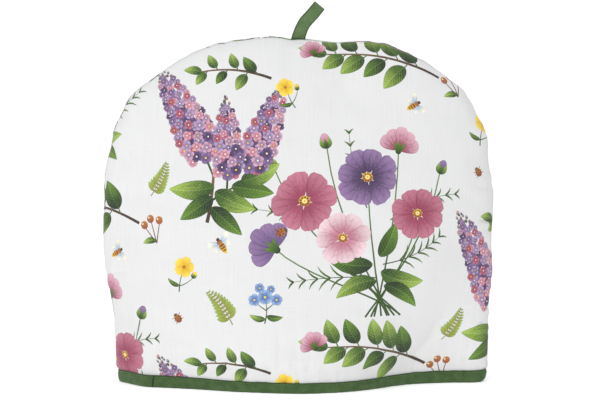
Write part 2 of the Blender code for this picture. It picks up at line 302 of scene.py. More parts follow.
def blade(at, base, tip, width, inks, manner=PETAL, fore=0.8, aft=0.5, bend=0.0, notches=0.0,
          steps=6):
    """A petal or leaf from base to tip. bend bows it sideways, notches cut its tip into three."""
    base, tip = complex(base), complex(tip)
    length = abs(tip - base)
    run = (1.0 - np.cos(np.linspace(0.0, math.pi, steps + 1))) / 2.0
    half = width / 2.0 * swelling(run, fore, aft)
    side = np.concatenate([half, -half[-2:0:-1]])
    run = np.concatenate([run, run[-2:0:-1]])
    lobes = 0.5 - 0.5 * np.cos(3.0 * math.pi * side / (width / 2.0))
    bow = 4.0 * bend * run * (1.0 - run)
    reach = run - notches * np.clip(run / 0.2 - 4.0, 0.0, 1.0) * lobes
    outline = at(base + (tip - base) * (reach + 1j * (bow + side / length)))
    foot, axis = complex(at(base)), complex(at(tip)) - complex(at(base))
    sideways = complex(at(base + 1j * (tip - base) / length)) - foot
    scale = abs(sideways)

    def reader(points):
        """Where printed points lie in this petal or leaf."""
        run = ((points - foot) * axis.conjugate()).real / abs(axis) ** 2
        off = ((points - foot) * sideways.conjugate()).real / scale**2
        run = np.clip(run, 0.0, 1.0)
        off = off - 4.0 * bend * run * (1.0 - run) * length
        half = width / 2.0 * swelling(np.clip(run, 0.02, 0.98), fore, aft)
        return run, run * abs(axis), off * scale, half * scale

    add_shape(outline, reader, inks, manner)


def stem(at, points, width, inks=GREEN, taper=0.6, steps=9):
    """A stem along a curve, taper being the share of its width left at its tip."""
    t = np.linspace(0.0, 1.0, steps + 1)
    spine = at(along(points, t))
    heading = np.gradient(spine)
    heading = heading / abs(heading)
    scale = abs(complex(at(1.0)) - complex(at(0.0)))
    half = scale * width / 2.0 * (1.0 - (1.0 - taper) * t)
    outline = np.concatenate([spine + 1j * heading * half, (spine - 1j * heading * half)[::-1]])
    lengths = np.concatenate([[0.0], np.cumsum(abs(np.diff(spine)))])

    def reader(places):
        """Where printed places lie in this stem."""
        nearest = abs(places[:, None] - spine[None, :]).argmin(axis=1)
        offset = (places - spine[nearest]) * heading[nearest].conjugate()
        run = lengths[nearest] + offset.real
        return run / lengths[-1], run, offset.imag, half[nearest]

    add_shape(outline, reader, inks, STEM)


def dot(at, place, across, inks, up=None):
    """A round or oval spot."""
    tall = (up or across) / 2.0
    steps = 4 if across < 2.0 else 8
    blade(at, place - 1j * tall, place + 1j * tall, across, inks, DOT, 0.5, 0.5, steps=steps)


def leaf(at, base, tip, width, bend=0.0, inks=BRIGHT):
    """A broad leaf with its veins."""
    blade(at, base, tip, width, inks, LEAF, 0.62, 0.95, bend, steps=14)


def feathery_leaf(at, points, reach, pairs=6):
    """A leaf of fine threads in pairs along a stalk."""
    stem(at, points, 0.9, GREEN, 0.4)
    for pair in range(pairs):
        t = 0.22 + 0.74 * pair / (pairs - 1)
        root = along(points, t)
        ahead = along(points, min(t + 0.02, 1.0)) - along(points, t - 0.02)
        ahead = ahead / abs(ahead)
        size = reach * (1.0 - 0.62 * (pair / pairs) ** 1.4) * brush.uniform(0.85, 1.1)
        for side in (-1, 1):
            tip = root + ahead * size * np.exp(side * 1j * math.radians(44.0))
            blade(at, root, tip, 1.5, GREEN, STEM, 0.45, 0.8, -0.12 * side, steps=5)


def cosmos(at, radius, lean=25.0, turn=0.0, inks=("rose", "shell")):
    """An open flower of eight notched petals round a yellow eye, leaning away at the top."""
    squash = math.cos(math.radians(lean))

    def seen(reach, degrees):
        """A place on the leaning flower."""
        spot = reach * np.exp(1j * math.radians(degrees))
        return spot.real + 1j * spot.imag * squash

    for layer in (0, 1):
        for petal in range(4):
            degrees = turn + 90.0 * petal + 45.0 * layer + brush.uniform(-5.0, 5.0)
            reach = radius * (1.0 - 0.05 * layer + brush.uniform(-CREPE, CREPE))
            upright = abs(math.sin(math.radians(degrees)))
            width = (0.66 - 0.04 * layer) * radius * (upright + squash * (1.0 - upright))
            blade(at, seen(0.10 * radius, degrees), seen(reach, degrees), width, inks, PETAL,
                  0.95, 0.30, brush.uniform(-0.04, 0.04), 0.11, steps=14)
    dot(at, 0.0, 0.34 * radius, ("amber", "gold"), 0.34 * radius * squash)
    for seed in range(9):
        dot(at, seen(0.12 * radius, 40.0 * seed), 0.06 * radius, ("umber", "rust"))
        dot(at, seen(0.05 * radius, 80.0 * seed), 0.05 * radius, ("butter", "cream"))


def side_cosmos(at, radius, inks=("rose", "shell"), spread=62.0):
    """A flower seen from the side, its petals fanned above a green cup."""
    for petal in (-2, 2, -1, 1, 0):
        tip = radius * np.exp(1j * math.radians(90.0 - spread * petal / 2.0))
        tip = tip.real * 0.9 + 1j * tip.imag * (1.0 - 0.06 * abs(petal))
        blade(at, 0.0, tip, 0.50 * radius, inks, PETAL, 1.0, 0.28, -0.04 * petal, 0.10, steps=14)
    for sepal in (-1, 1, 0):
        tip = 0.42 * radius * np.exp(1j * math.radians(90.0 - 34.0 * sepal))
        blade(at, -0.12j * radius, tip, 0.17 * radius, GREEN, STEM, 0.5, 0.9)
    dot(at, -0.06j * radius, 0.24 * radius, ("pine", "moss"), 0.2 * radius)


def bud(at, size, inks=("rose", "blush")):
    """A closed bud in three sepals, standing on 0."""
    blade(at, 0.1j * size, 1j * size, 0.62 * size, inks, PETAL, 0.6, 0.6)
    for side in (-1, 1):
        blade(at, 0.0, (0.26 * side + 0.74j) * size, 0.3 * size, BRIGHT, STEM,
              0.6, 0.9, -0.16 * side)
    blade(at, 0.0, 0.62j * size, 0.26 * size, DEEP, STEM, 0.6, 0.9)


def floret(at, radius, inks, eye="cream", petals=5, turn=0.0):
    """A small flat flower of round petals."""
    for petal in range(petals):
        way = np.exp(1j * math.radians(turn + 360.0 / petals * petal))
        blade(at, 0.06 * radius * way, radius * way, 0.92 * radius, inks, PETAL, 0.75, 0.42,
              steps=5)
    dot(at, 0.0, 0.34 * radius, (eye, eye))


def larkspur(at, length, width, count):
    """A tall spike of crowded florets, open at its foot and in bud at its tip."""
    inks = (("violet", "mauve"), ("mauve", "lilac"), ("plum", "violet"), ("cerise", "rose"),
            ("mauve", "blush"), ("violet", "lilac"), ("rose", "blush"))
    spine = (0.0, (0.04 + 0.5j) * length, 1j * length)
    stem(at, spine, 1.8, GREEN, 0.4)
    blade(at, 0.17j * length, 0.96j * length, 0.64 * width, ("plum", "mauve"), STEM, 0.2, 0.8,
          0.03, steps=12)
    for behind in (True, False):
        for k in range(count):
            t, swirl = k / (count - 1), 2.4 * k
            if (math.cos(swirl) < 0.0) != behind:
                continue
            spread = width / 2.0 * (1.0 - t) ** 0.55 * min(0.6 + 1.6 * t, 1.0)
            place = along(spine, 0.16 + 0.84 * t) + math.sin(swirl) * spread
            radius = 4.9 * (1.0 - 0.52 * t) * brush.uniform(0.88, 1.12)
            ink = inks[(3 * k + k // 5) % len(inks)]
            if t > 0.86:
                dot(at, place, radius * 0.9, ("moss", ink[1]), radius * 1.3)
            else:
                floret(placed(at, place, brush.uniform(0.0, 360.0)), radius, ink,
                       "cream" if k % 3 else "butter")


def leafy_twig(at, length, leaves=7, size=30.0, inks=WOOD):
    """A woody twig with broad leaves on both sides and one at its tip."""
    spine = (0.0, 0.14 * length + 0.5j * length, 1j * length)
    stem(at, spine, 2.4, inks, 0.45, 14)
    for k in range(leaves):
        t = 0.2 + 0.72 * k / (leaves - 1)
        side = -1 if k % 2 else 1
        root = complex(along(spine, t))
        away = np.exp(1j * math.radians(90.0 - side * brush.uniform(44.0, 66.0)))
        reach = size * (1.0 - 0.35 * t) * brush.uniform(0.9, 1.1)
        stem(at, (root, root + 0.16 * reach * away), 1.1, ("leaf", "moss"), 0.8, 2)
        tone = BRIGHT if k % 3 else DEEP
        leaf(at, root + 0.14 * reach * away, root + reach * away, 0.5 * reach, 0.05 * side, tone)
    tip = complex(along(spine, 1.0))
    leaf(at, tip, tip + 0.75j * size, 0.36 * size, -0.05, BRIGHT)


def forget_me_nots(at):
    """A sprig of small blue flowers, 26 mm tall."""
    for stalk, width in (((-3 - 4j, 1 + 5j, 0 + 13j), 0.9), ((0 + 5j, -4 + 8j, -8 + 13j), 0.8),
                         ((0 + 6j, 5 + 9j, 8 + 11j), 0.8)):
        stem(at, stalk, width)
    leaf(at, -2 - 1j, -13 + 4j, 4.6, 0.1)
    leaf(at, -1 + 1j, 11 - 1j, 4.8, -0.1, GREEN)
    for place, radius in ((-8 + 14j, 4.6), (8 + 12j, 4.4), (0 + 15j, 5.4), (-3 + 22j, 3.8),
                          (5 + 20j, 3.2)):
        floret(placed(at, place, 17 * radius), radius, ("cornflower", "sky"), "butter")


def buttercup(at):
    """A yellow flower and its bud on thin stalks, 24 mm tall."""
    stem(at, (1 - 7j, -1 + 0j, 0 + 7j), 0.9)
    stem(at, (0 - 3j, 5 + 0j, 8 + 5j), 0.7)
    leaf(at, 0 - 3j, -10 + 0j, 3.4, 0.1, GREEN)
    floret(placed(at, 0 + 11j, 12.0), 7.4, ("gold", "butter"), "amber")
    bud(placed(at, 8 + 5j, -14.0), 5.4, ("gold", "butter"))


def berries(at):
    """Three berries on red-brown stalks."""
    for place, pull in ((-6 + 8j, -4 + 3j), (0 + 11j, 0 + 5j), (6.5 + 8j, 4 + 3j)):
        stem(at, (0 - 6j, pull, place), 0.8, ("bark", "rust"), 0.8)
        dot(at, place + 1.6j, 5.6, ("rust", "amber"), 6.2)
        dot(at, place - 1.0 + 2.8j, 1.3, ("cream", "cream"))
    leaf(at, 0 - 4j, -11 - 3j, 5.0, -0.1)


def fern(at, length=34.0):
    """A curling frond."""
    spine = (0.0, 4.0 + 0.6j * length, -2.0 + 1j * length)
    stem(at, spine, 0.9, ("olive", "fresh"), 0.4)
    for k in range(10):
        t = 0.14 + 0.8 * k / 9
        root = complex(along(spine, t))
        reach = 0.30 * length * (1.0 - t) ** 0.7 + 1.2
        for side in (-1, 1):
            away = reach * np.exp(1j * math.radians(90.0 - side * 58.0))
            blade(at, root, root + away, 0.3 * reach + 0.8, ("olive", "fresh"), STEM, 0.6, 0.7,
                  -0.1 * side, steps=5)


def ladybird(at):
    """A spotted beetle, 8 mm long."""
    for side in (-1, 1):
        for leg in (-1.6, 0.2, 2.0):
            stem(at, (1j * leg, side * 2.6 + 1.1j * leg, side * 4.4 + 1.5j * leg), 0.4,
                 BLACK, 1.0, 3)
    dot(at, 3.4j, 3.6, BLACK, 2.8)
    dot(at, 0.0, 6.4, ("rust", "amber"), 7.2)
    stem(at, (-3.5j, 3.4j), 0.4, BLACK, 1.0, 2)
    for place in (-1.7 + 1.3j, 1.7 + 1.3j, -1.6 - 1.2j, 1.6 - 1.2j):
        dot(at, place, 1.3, BLACK)


def bee(at):
    """A striped bee with clear wings, 13 mm long."""
    for side in (-1, 1):
        for root, tip, width in ((1j, side * 9.0 + 5j, 4.6), (0.0, side * 6.4 - 2.4j, 3.4)):
            blade(at, root, tip, width, ("sky", "cream"), WING, 0.9, 0.4)
    blade(at, 2j, -7.4j, 4.8, ("amber", "gold"), DOT, 0.5, 0.7)
    for band, width in ((-0.6, 4.4), (-2.7, 4.2), (-4.7, 3.0)):
        blade(at, -width / 2 + 1j * band, width / 2 + 1j * band, 1.0, BLACK, DOT,
              0.3, 0.3, steps=3)
    dot(at, 2.2j, 4.2, ("amber", "bark"), 3.8)
    dot(at, 4.6j, 2.8, BLACK, 2.2)


def cosmos_spray(at):
    """The large spray: open flowers, side flowers and buds on long stalks tied low down."""
    heads = (  # place, stalk's bow, kind, size, turn, inks
        (-44 + 92j, -16, cosmos, 27, 8, ("cerise", "rose")),
        (6 + 108j, -4, cosmos, 25, 30, ("plum", "mauve")),
        (-16 + 62j, -8, cosmos, 22, 52, ("rose", "shell")),
        (44 + 78j, 12, cosmos, 22, 20, ("cerise", "rose")),
        (-68 + 56j, -22, side_cosmos, 23, 52, ("violet", "mauve")),
        (32 + 128j, 6, side_cosmos, 19, -14, ("cerise", "blush")),
        (-24 + 132j, -14, bud, 13, 10, ("rose", "blush")),
        (64 + 108j, 18, bud, 12, -24, ("violet", "mauve")),
        (-66 + 118j, -24, bud, 11, 26, ("cerise", "rose")),
    )
    tied = 10 + 16j
    for place, bow, _, _, _, _ in heads:
        foot = tied - 16j + (tied.real - place.real) * 0.22
        stem(at, (foot, tied, (tied + place) / 2 + bow, place), 1.5)
    for stalk, reach in (
            ((8 + 30j, -26 + 34j, -58 + 30j), 15), ((14 + 40j, 44 + 44j, 62 + 60j), 14),
            ((-14 + 74j, -40 + 80j, -84 + 88j), 13), ((22 + 74j, 52 + 92j, 78 + 92j), 13),
            ((4 + 84j, -6 + 110j, -6 + 146j), 11)):
        feathery_leaf(at, stalk, reach)
    for base, tip, width, bend, inks in (
            (12 + 34j, 46 + 26j, 15, -0.1, BRIGHT), (6 + 40j, -30 + 48j, 14, 0.08, DEEP),
            (12 + 46j, 26 + 72j, 13, -0.06, GREEN), (8 + 28j, -24 + 16j, 13, -0.1, BRIGHT),
            (14 + 24j, 40 + 6j, 12, 0.1, DEEP)):
        leaf(at, base, tip, width, bend, inks)
    for place, _, flower, size, turn, inks in heads:
        if flower is cosmos:
            cosmos(placed(at, place), size, 24.0, turn, inks)
        else:
            flower(placed(at, place, turn), size, inks)


def larkspur_branch(at):
    """Two spikes and a young one rising from a leafy woody foot."""
    stem(at, (-6 - 34j, 0 - 14j, 2 + 6j), 3.0, WOOD, 0.7, 12)
    stem(at, (0 - 16j, 14 - 8j, 30 - 2j), 1.8, WOOD, 0.6)
    for base, tip, width, tone in (
            (2 - 6j, -36 - 4j, 16, BRIGHT), (0 - 14j, -28 - 30j, 15, DEEP),
            (2 - 10j, 34 - 26j, 17, BRIGHT), (16 - 6j, 50 - 14j, 15, GREEN),
            (24 - 2j, 56 + 10j, 15, BRIGHT), (-2 - 22j, 22 - 46j, 14, DEEP)):
        leaf(at, base, tip, width, brush.uniform(-0.08, 0.08), tone)
    for foot, turn, length, width, count in (
            (24 - 4j, -26.0, 86.0, 31.0, 72), (1.8 + 3j, 24.0, 104.0, 36.0, 96),
            (12 - 9j, -2.0, 77.0, 25.0, 50)):
        larkspur(placed(at, foot, turn), length, width, count)


REPEAT_ACROSS, REPEAT_UP = 250.0, 240.0     # size of one repeat of the print
HALF_DROP = REPEAT_UP / 2.0                 # how far each next strip of repeats is set down
MOTIFS = (  # motif, place in the repeat, turn, size
    (cosmos_spray, 56 + 50j, 3.0, 1.04),
    (larkspur_branch, -70 + 160j, 4.0, 1.0),
    (lambda at: leafy_twig(at, 96.0, 9, 33.0), 118 + 246j, 78.0, 1.0),
    (forget_me_nots, -24 + 50j, 8.0, 1.1),
    (lambda at: leafy_twig(at, 58.0, 6, 21.0), -22 + 4j, 84.0, 1.0),
    (buttercup, -96 + 78j, -16.0, 1.15),
    (bee, -62 + 108j, 34.0, 1.1),
    (fern, -52 + 44j, 36.0, 1.0),
    (ladybird, -14 + 118j, -64.0, 1.1),
    (berries, -118 + 116j, 16.0, 1.1),
    (buttercup, -6 + 226j, 24.0, 1.05),
    (bee, 96 + 222j, -60.0, 1.0),
    (lambda at: side_cosmos(at, 14.0, ("cerise", "blush")), 14 + 266j, 24.0, 1.0),
    (fern, 128 + 28j, -30.0, 0.9),
    (ladybird, -98 + 48j, 40.0, 1.0),
)


def whole(point):
    """The plain way of placing: as drawn."""
    return np.asarray(point, complex)


for motif, place, turn, size in MOTIFS:
    motif(placed(whole, place, turn, size))


# Each panel is cut from the printed cloth, and every printed shape's outline is an edge of its
# mesh. The hem's middle lies at this place in the repeat.
CUT_FROM = {FRONT: 0.0j, BACK: 96.0 + 40.0j}
CLOTH_STEP = 2.4            # mm between points of the outer face
LINING_STEP = 6.0
EDGE_STEP = 2.0             # mm between points along the sewn edge
LIP_RINGS = (0.4, 1.0, 1.8, 2.8, 4.0, 5.5, 7.4, 9.6)    # mm in from the edge
MERGE = 0.002               # mm: points closer than this on the cloth are one
ROW_SHARE = 0.866           # from row to row of a staggered grid, as a share of its step
LOWEST_ROW = -9.5           # height of its first row, just over the cut hem
LIP_SPOKES = 450            # places round the sewn edge from which the rings' points are set in
CLOTH_HALF, CLOTH_TOP = 190.0, 320.0    # a panel's cloth lies within this of the hem's middle
PRINT_TOP, PRINT_FOOT = 310.0, -12.0    # and the shapes printed on it between these heights


def cloth_outline(side):
    """The cut panel's outline on the flat cloth, anticlockwise from the hem's left corner."""
    angles = np.linspace(0.0, math.pi, 2000)
    reach = edge_reach(side, angles)
    curve = reach * np.exp(1j * angles)
    run = np.concatenate([[0.0], np.cumsum(abs(np.diff(curve)))])
    even = np.interp(np.linspace(0.0, run[-1], int(run[-1] / EDGE_STEP)), run, angles)
    curve = np.interp(even, angles, reach) * np.exp(1j * even)
    drop = (BAND_TOP - PANEL_BOTTOM) / MM
    left, right = curve[-1].real, curve[0].real
    hem = np.linspace(left, right, int((right - left) / EDGE_STEP)) - 1j * drop
    down = 1j * np.linspace(0.0, -drop, 5)[1:-1]
    return np.concatenate([curve, left + down, hem, right + down[::-1]])


def inside_points(side, step, clear):
    """A staggered grid of places on the cloth, at least this many mm in from the sewn edge."""
    rows = np.arange(LOWEST_ROW, CLOTH_TOP, step * ROW_SHARE)
    across = np.arange(-CLOTH_HALF, CLOTH_HALF, step)
    grid = (across[None, :] + step / 2.0 * (np.arange(len(rows)) % 2)[:, None]
            + 1j * rows[:, None]).ravel()
    raised = grid.real + 1j * np.maximum(grid.imag, 0.0)
    return grid[abs(raised) < edge_reach(side, np.angle(raised)) - clear]


def lip_points(side):
    """Rings of places just inside the sewn edge, closer together where the cloth rolls over."""
    angles = np.linspace(0.0, math.pi, LIP_SPOKES)[1:-1]
    reach = edge_reach(side, angles)
    return np.concatenate([(reach - inset) * np.exp(1j * angles) for inset in LIP_RINGS])


def within(points, ring):
    """Which points a closed outline goes round."""
    start, end = ring[None, :], np.roll(ring, -1)[None, :]
    here = points[:, None]
    crossing = (start.imag > here.imag) != (end.imag > here.imag)
    rise = np.where(crossing, end.imag - start.imag, 1.0)
    across = start.real + (here.imag - start.imag) * (end.real - start.real) / rise
    return (crossing & (across > here.real)).sum(axis=1) % 2 == 1


def cut_cloth(side, outline, points, printed):
    """Triangulate a cut panel with the printed shapes' outlines as edges.

    Gives the places, the triangles and the shape on top of each triangle, -1 for bare cloth."""
    coords, edges = [], []
    for ring in (outline, *printed):
        first, count = len(coords), len(ring)
        coords += [Vector((p.real, p.imag)) for p in ring]
        edges += [(first + k, first + (k + 1) % count) for k in range(count)]
    coords += [Vector((p.real, p.imag)) for p in points]
    made = delaunay_2d_cdt(coords, edges, [], 0, MERGE, False)
    places, triangles = np.array([(p.x, p.y) for p in made[0]]), np.array(made[2])
    middle = places[triangles].mean(axis=1)
    middle = middle[:, 0] + 1j * middle[:, 1]
    raised = middle.real + 1j * np.maximum(middle.imag, 0.0)
    inset = np.minimum(edge_reach(side, np.angle(raised)) - abs(raised),
                       middle.imag - outline.imag.min())
    kept = inset > EDGE_STEP
    unsure = np.flatnonzero(abs(inset) <= EDGE_STEP)
    kept[unsure] = within(middle[unsure], outline)
    triangles, middle = triangles[kept], middle[kept]
    owners = np.full(len(triangles), -1)
    for number, ring in enumerate(printed):
        near = np.flatnonzero((middle.real > ring.real.min()) & (middle.real < ring.real.max())
                              & (middle.imag > ring.imag.min()) & (middle.imag < ring.imag.max()))
        owners[near[within(middle[near], ring)]] = number
    used = np.unique(triangles)
    renumber = np.full(len(places), -1)
    renumber[used] = np.arange(len(used))
    return places[used], renumber[triangles], owners


def boundary_loop(triangles):
    """The points round the open edge of a sheet, in order."""
    sides = np.concatenate([triangles[:, [0, 1]], triangles[:, [1, 2]], triangles[:, [2, 0]]])
    there = set(map(tuple, sides))
    following = {a: b for a, b in there if (b, a) not in there}
    loop = [min(following)]
    while following[loop[-1]] != loop[0]:
        loop.append(following[loop[-1]])
    return loop


def shapes_on(cut_from):
    """The printed shapes that reach a panel, moved to its own places."""
    found = []
    for column in range(-2, 3):
        for row in range(-2, 3):
            move = (column * REPEAT_ACROSS - cut_from.real
                    + 1j * (row * REPEAT_UP + HALF_DROP * (column % 2) - cut_from.imag))
            for shape in shapes:
                outline = shape[0] + move
                if (outline.real.max() > -CLOTH_HALF and outline.real.min() < CLOTH_HALF
                        and outline.imag.max() > PRINT_FOOT and outline.imag.min() < PRINT_TOP):
                    found.append((outline, move, shape))
    return found


# Relief in the outer cloth, all in mm. Creases: (start, direction in degrees, length, width, depth)
CREASES = {
    FRONT: (
        (168 + 128j, 178.0, 20.0, 1.5, 2.2), (168 + 122j, 190.0, 14.0, 1.6, 1.1),
        (165 + 108j, 172.0, 20.0, 2.4, 1.3), (162 + 156j, 186.0, 15.0, 2.4, 0.9),
        (-14 + 10j, 93.0, 48.0, 3.0, 1.3), (-3 + 8j, 86.0, 42.0, 2.6, 1.0),
        (8 + 6j, 80.0, 30.0, 2.4, 0.8), (-58 + 6j, 96.0, 26.0, 2.6, 0.8),
        (62 + 6j, 82.0, 38.0, 4.0, 1.1), (108 + 12j, 60.0, 50.0, 6.0, 1.4),
        (-132 + 8j, 112.0, 38.0, 4.0, 1.2), (-160 + 84j, 4.0, 17.0, 2.2, 1.0),
        (163 + 40j, 214.0, 16.0, 1.8, 2.0),
        (40 + 276j, 268.0, 130.0, 34.0, 2.6),
    ),
    BACK: (
        (-166 + 118j, 3.0, 16.0, 1.9, 1.0), (160 + 92j, 176.0, 15.0, 2.2, 0.8),
        (12 + 8j, 88.0, 40.0, 3.2, 0.8), (-44 + 6j, 96.0, 28.0, 3.0, 0.6),
        (76 + 8j, 80.0, 34.0, 4.0, 0.7), (-112 + 10j, 118.0, 40.0, 5.0, 0.9),
    ),
}
EDGE_RADIUS = 178.0         # an even circle as long as the sewn edge, to space its gathers
PUCKER = 1.1                # depth of the gathers beside the sewn edge
PUCKER_LENGTH = 15.0        # from one to the next
PUCKER_FULL = 4.0           # how far in from the edge they are deepest
PUCKER_REACH = 9.0          # and how far in they fade
GROOVE = 2.4                # depth of the sewn line between the two rolled lips
GROOVE_REACH = 2.0
BINDING_HOLD = (7.0, 20.0)  # the tape presses gathers and groove flat up to here, fading over this
BACK_LIP = 0.9              # how far the back's lip stands out past the front's, at the top left
BACK_LIP_INSET = 4.0
BACK_LIP_RISE, BACK_LIP_FALL = (0.96, 0.8), (2.3, 0.4)  # radians: where it starts, and over what
HEM_PUCKER = 0.8            # depth of the gathers above the tape, their spacing and their height
HEM_PUCKER_LENGTH = 11.0
HEM_PUCKER_REACH = 12.0
HEM_PUCKER_INSET = 14.0     # they fade this near the hem's two ends
END_PUFF = 1.8              # how far the padding swells over the tape at the hem's two ends
END_PUFF_REACH = 9.0
END_PUFF_RISE, END_PUFF_FALL = (-1.8, 2.2), (0.5, 7.5)  # heights where it starts, and over what
UNEVEN = 1.0                # slow rise and fall of the padding
UNEVEN_INSET, UNEVEN_RAISED = 45.0, 30.0
SLOPE_STEP = 0.5            # either way when reading a slope


def uneven_waves(run, length, seed):
    """Waves of about this length along a run, never quite alike, from 0 to 1."""
    turn = 2.0 * math.pi * run / length
    bent = turn + 1.5 * np.sin(turn * 0.31 + seed) + 0.9 * np.sin(turn * 0.73 + 2.0 * seed)
    strength = 0.62 + 0.38 * np.sin(turn * 0.173 + 3.0 * seed)
    return strength * (0.5 + 0.5 * np.cos(bent))


def between(place, rise, fall):
    """Up from 0 to 1 and down again, each from a start and over a distance."""
    risen, fallen = (ease((place - start) / over) for start, over in (rise, fall))
    return risen * (1.0 - fallen)


def relief(side, places):
    """Height of the outer cloth over its even form, in metres, at places on the flat cloth."""
    across, up = places[:, 0], places[:, 1]
    raised = np.maximum(up, 0.0)
    angle = np.arctan2(raised, across)
    reach = edge_reach(side, angle)
    inset = np.maximum(reach - np.hypot(across, raised), 0.0)
    gather = uneven_waves(angle * EDGE_RADIUS, PUCKER_LENGTH, 1.3)
    gather = gather * (0.3 + 0.7 * ease(inset / PUCKER_FULL))
    rolled = PUCKER * gather * np.exp(-((inset / PUCKER_REACH) ** 1.4))
    rolled = rolled + GROOVE * np.exp(-((inset / GROOVE_REACH) ** 2))
    height = -rolled * ease((raised - BINDING_HOLD[0]) / BINDING_HOLD[1])
    if side == BACK:
        ridge = np.exp(-(((inset - BACK_LIP_INSET) / BACK_LIP_INSET) ** 2))
        height = height + BACK_LIP * between(angle, BACK_LIP_RISE, BACK_LIP_FALL) * ridge
    hem = uneven_waves(across, HEM_PUCKER_LENGTH, 0.7 + side) * np.exp(-raised / HEM_PUCKER_REACH)
    height = height - HEM_PUCKER * hem * ease(inset / HEM_PUCKER_INSET)
    over_tape = between(up, END_PUFF_RISE, END_PUFF_FALL)
    height = height + END_PUFF * over_tape * (1.0 - ease(inset / END_PUFF_REACH))
    loose = ease(inset / UNEVEN_INSET) * ease(raised / UNEVEN_RAISED)
    height = height + UNEVEN * loose * (
        np.sin(across / 19.0 + 0.7 * side) * np.sin(up / 23.0 + 1.1)
        + 0.5 * np.sin((across + up) / 11.0 + side) * np.sin((across - 1.3 * up) / 15.0))
    spot = across + 1j * up
    for start, direction, length, width, depth in CREASES[side]:
        way = np.exp(1j * math.radians(direction))
        local = (spot - start) * np.conj(way)
        shape = ease(local.real / 3.0 + 1.0) * ease((length - local.real) / (0.7 * length))
        height = height - depth * shape * np.exp(-((local.imag / width) ** 2))
    return height * MM


def unit(vectors):
    """The same directions, all of length 1."""
    return vectors / np.maximum(np.linalg.norm(vectors, axis=1), 1e-12)[:, None]


def facing(surface, side, places, way=1.0):
    """Unit normals of a panel's surface: away from the seam plane, or towards it where way is -1."""
    east, north = (surface(side, places + step) - surface(side, places - step)
                   for step in ((SLOPE_STEP, 0.0), (0.0, SLOPE_STEP)))
    return -side * way * unit(np.cross(east, north))


def add_object(name, data):
    """Put a new object in the scene, at the origin."""
    made = bpy.data.objects.new(name, data)
    bpy.context.scene.collection.objects.link(made)
    return made


def add_mesh(name, points, edges, faces, material=None):
    """Put a new mesh in the scene, smooth if it has a material."""
    mesh = bpy.data.meshes.new(name)
    mesh.from_pydata(points, edges, faces)
    if material:
        mesh.materials.append(material)
        mesh.shade_smooth()
    return add_object(name, mesh)


# The printed cloth is a little too big for its wadding, which presses it out between the seams.
SWELL_ACROSS = np.arange(-195.0, 196.0, 5.0)    # the simulated cloth's points, in mm
SWELL_UP = np.arange(0.0, 326.0, 5.0)
SWELL_FINER = 4             # steps between those points where the result is smoothed
SWELL_FRAMES = 24
SWELL_CAP = 4.5             # the most that the cloth may rise, mm
PRESSURE = 6.0
SPARE_CLOTH = 0.008         # how much bigger than its padding the cloth is
SWELL_SETTINGS = {          # how the padded cotton gives
    "mass": 0.02, "tension_stiffness": 12.0, "compression_stiffness": 12.0,
    "shear_stiffness": 5.0, "bending_stiffness": 1.0, "air_damping": 5.0, "pin_stiffness": 1.0,
    "quality": 6, "vertex_group_mass": "held", "shrink_min": -SPARE_CLOTH,
    "shrink_max": -SPARE_CLOTH, "use_pressure": True, "uniform_pressure_force": PRESSURE,
}
FREE_FROM = 2.5             # mm from the sewn edge, where the simulated cloth begins
HELD_OVER = 14.0            # mm over which the hold of the seams fades
HELD_BY_WADDING = 0.12


def held_cloth(side, places, inset):
    """A sheet of cloth over the padding, with how firmly each point is held, ready to run."""
    lattice = np.arange(len(places)).reshape(len(SWELL_UP), len(SWELL_ACROSS))
    squares = np.stack([lattice[:-1, :-1], lattice[:-1, 1:], lattice[1:, 1:], lattice[1:, :-1]], -1)
    squares = squares.reshape(-1, 4)
    inside = inset > FREE_FROM
    squares = squares[inside[squares].all(axis=1)]
    if side > 0:
        squares = squares[:, ::-1]
    number = np.cumsum(inside) - 1
    start = raised_cloth(side, places[inside], relief(side, places[inside]))
    cloth = add_mesh("held_cloth", start.tolist(), [], number[squares].tolist())
    hold = 1.0 - np.minimum(inset - FREE_FROM, places[:, 1])[inside] / HELD_OVER
    held = cloth.vertex_groups.new(name="held")
    for point, firmness in enumerate(np.clip(hold, HELD_BY_WADDING, 1.0)):
        held.add([point], float(firmness), "REPLACE")
    return cloth, start, inside


def swell(side):
    """Simulate a panel's cloth, a little too big and pressed out by its wadding, so that it gathers
    beside the seams. Gives its rise over the form in mm, as a grid over the flat cloth."""
    across, up = np.meshgrid(SWELL_ACROSS, SWELL_UP)
    places = np.stack([across.ravel(), up.ravel()], 1)
    inset = edge_reach(side, np.arctan2(places[:, 1], places[:, 0])) - np.hypot(*places.T)
    cloth, start, inside = held_cloth(side, places, inset)
    run = cloth.modifiers.new("swell", "CLOTH")
    for setting, value in SWELL_SETTINGS.items():
        setattr(run.settings, setting, value)
    run.settings.effector_weights.gravity = 0.0
    run.collision_settings.use_collision = False
    run.point_cache.frame_end = SWELL_FRAMES
    for frame_number in range(1, SWELL_FRAMES + 1):
        bpy.context.scene.frame_set(frame_number)
    settled = cloth.evaluated_get(bpy.context.evaluated_depsgraph_get()).data
    moved = np.empty(3 * len(start))
    settled.vertices.foreach_get("co", moved)
    normal = facing(on_cloth, side, places[inside])
    rise = np.zeros(len(places))
    rise[inside] = ((moved.reshape(-1, 3) - start) * normal).sum(axis=1) / MM
    bpy.data.objects.remove(cloth)
    bpy.context.scene.frame_set(1)
    return finer(np.clip(rise, -SWELL_CAP, SWELL_CAP).reshape(across.shape))


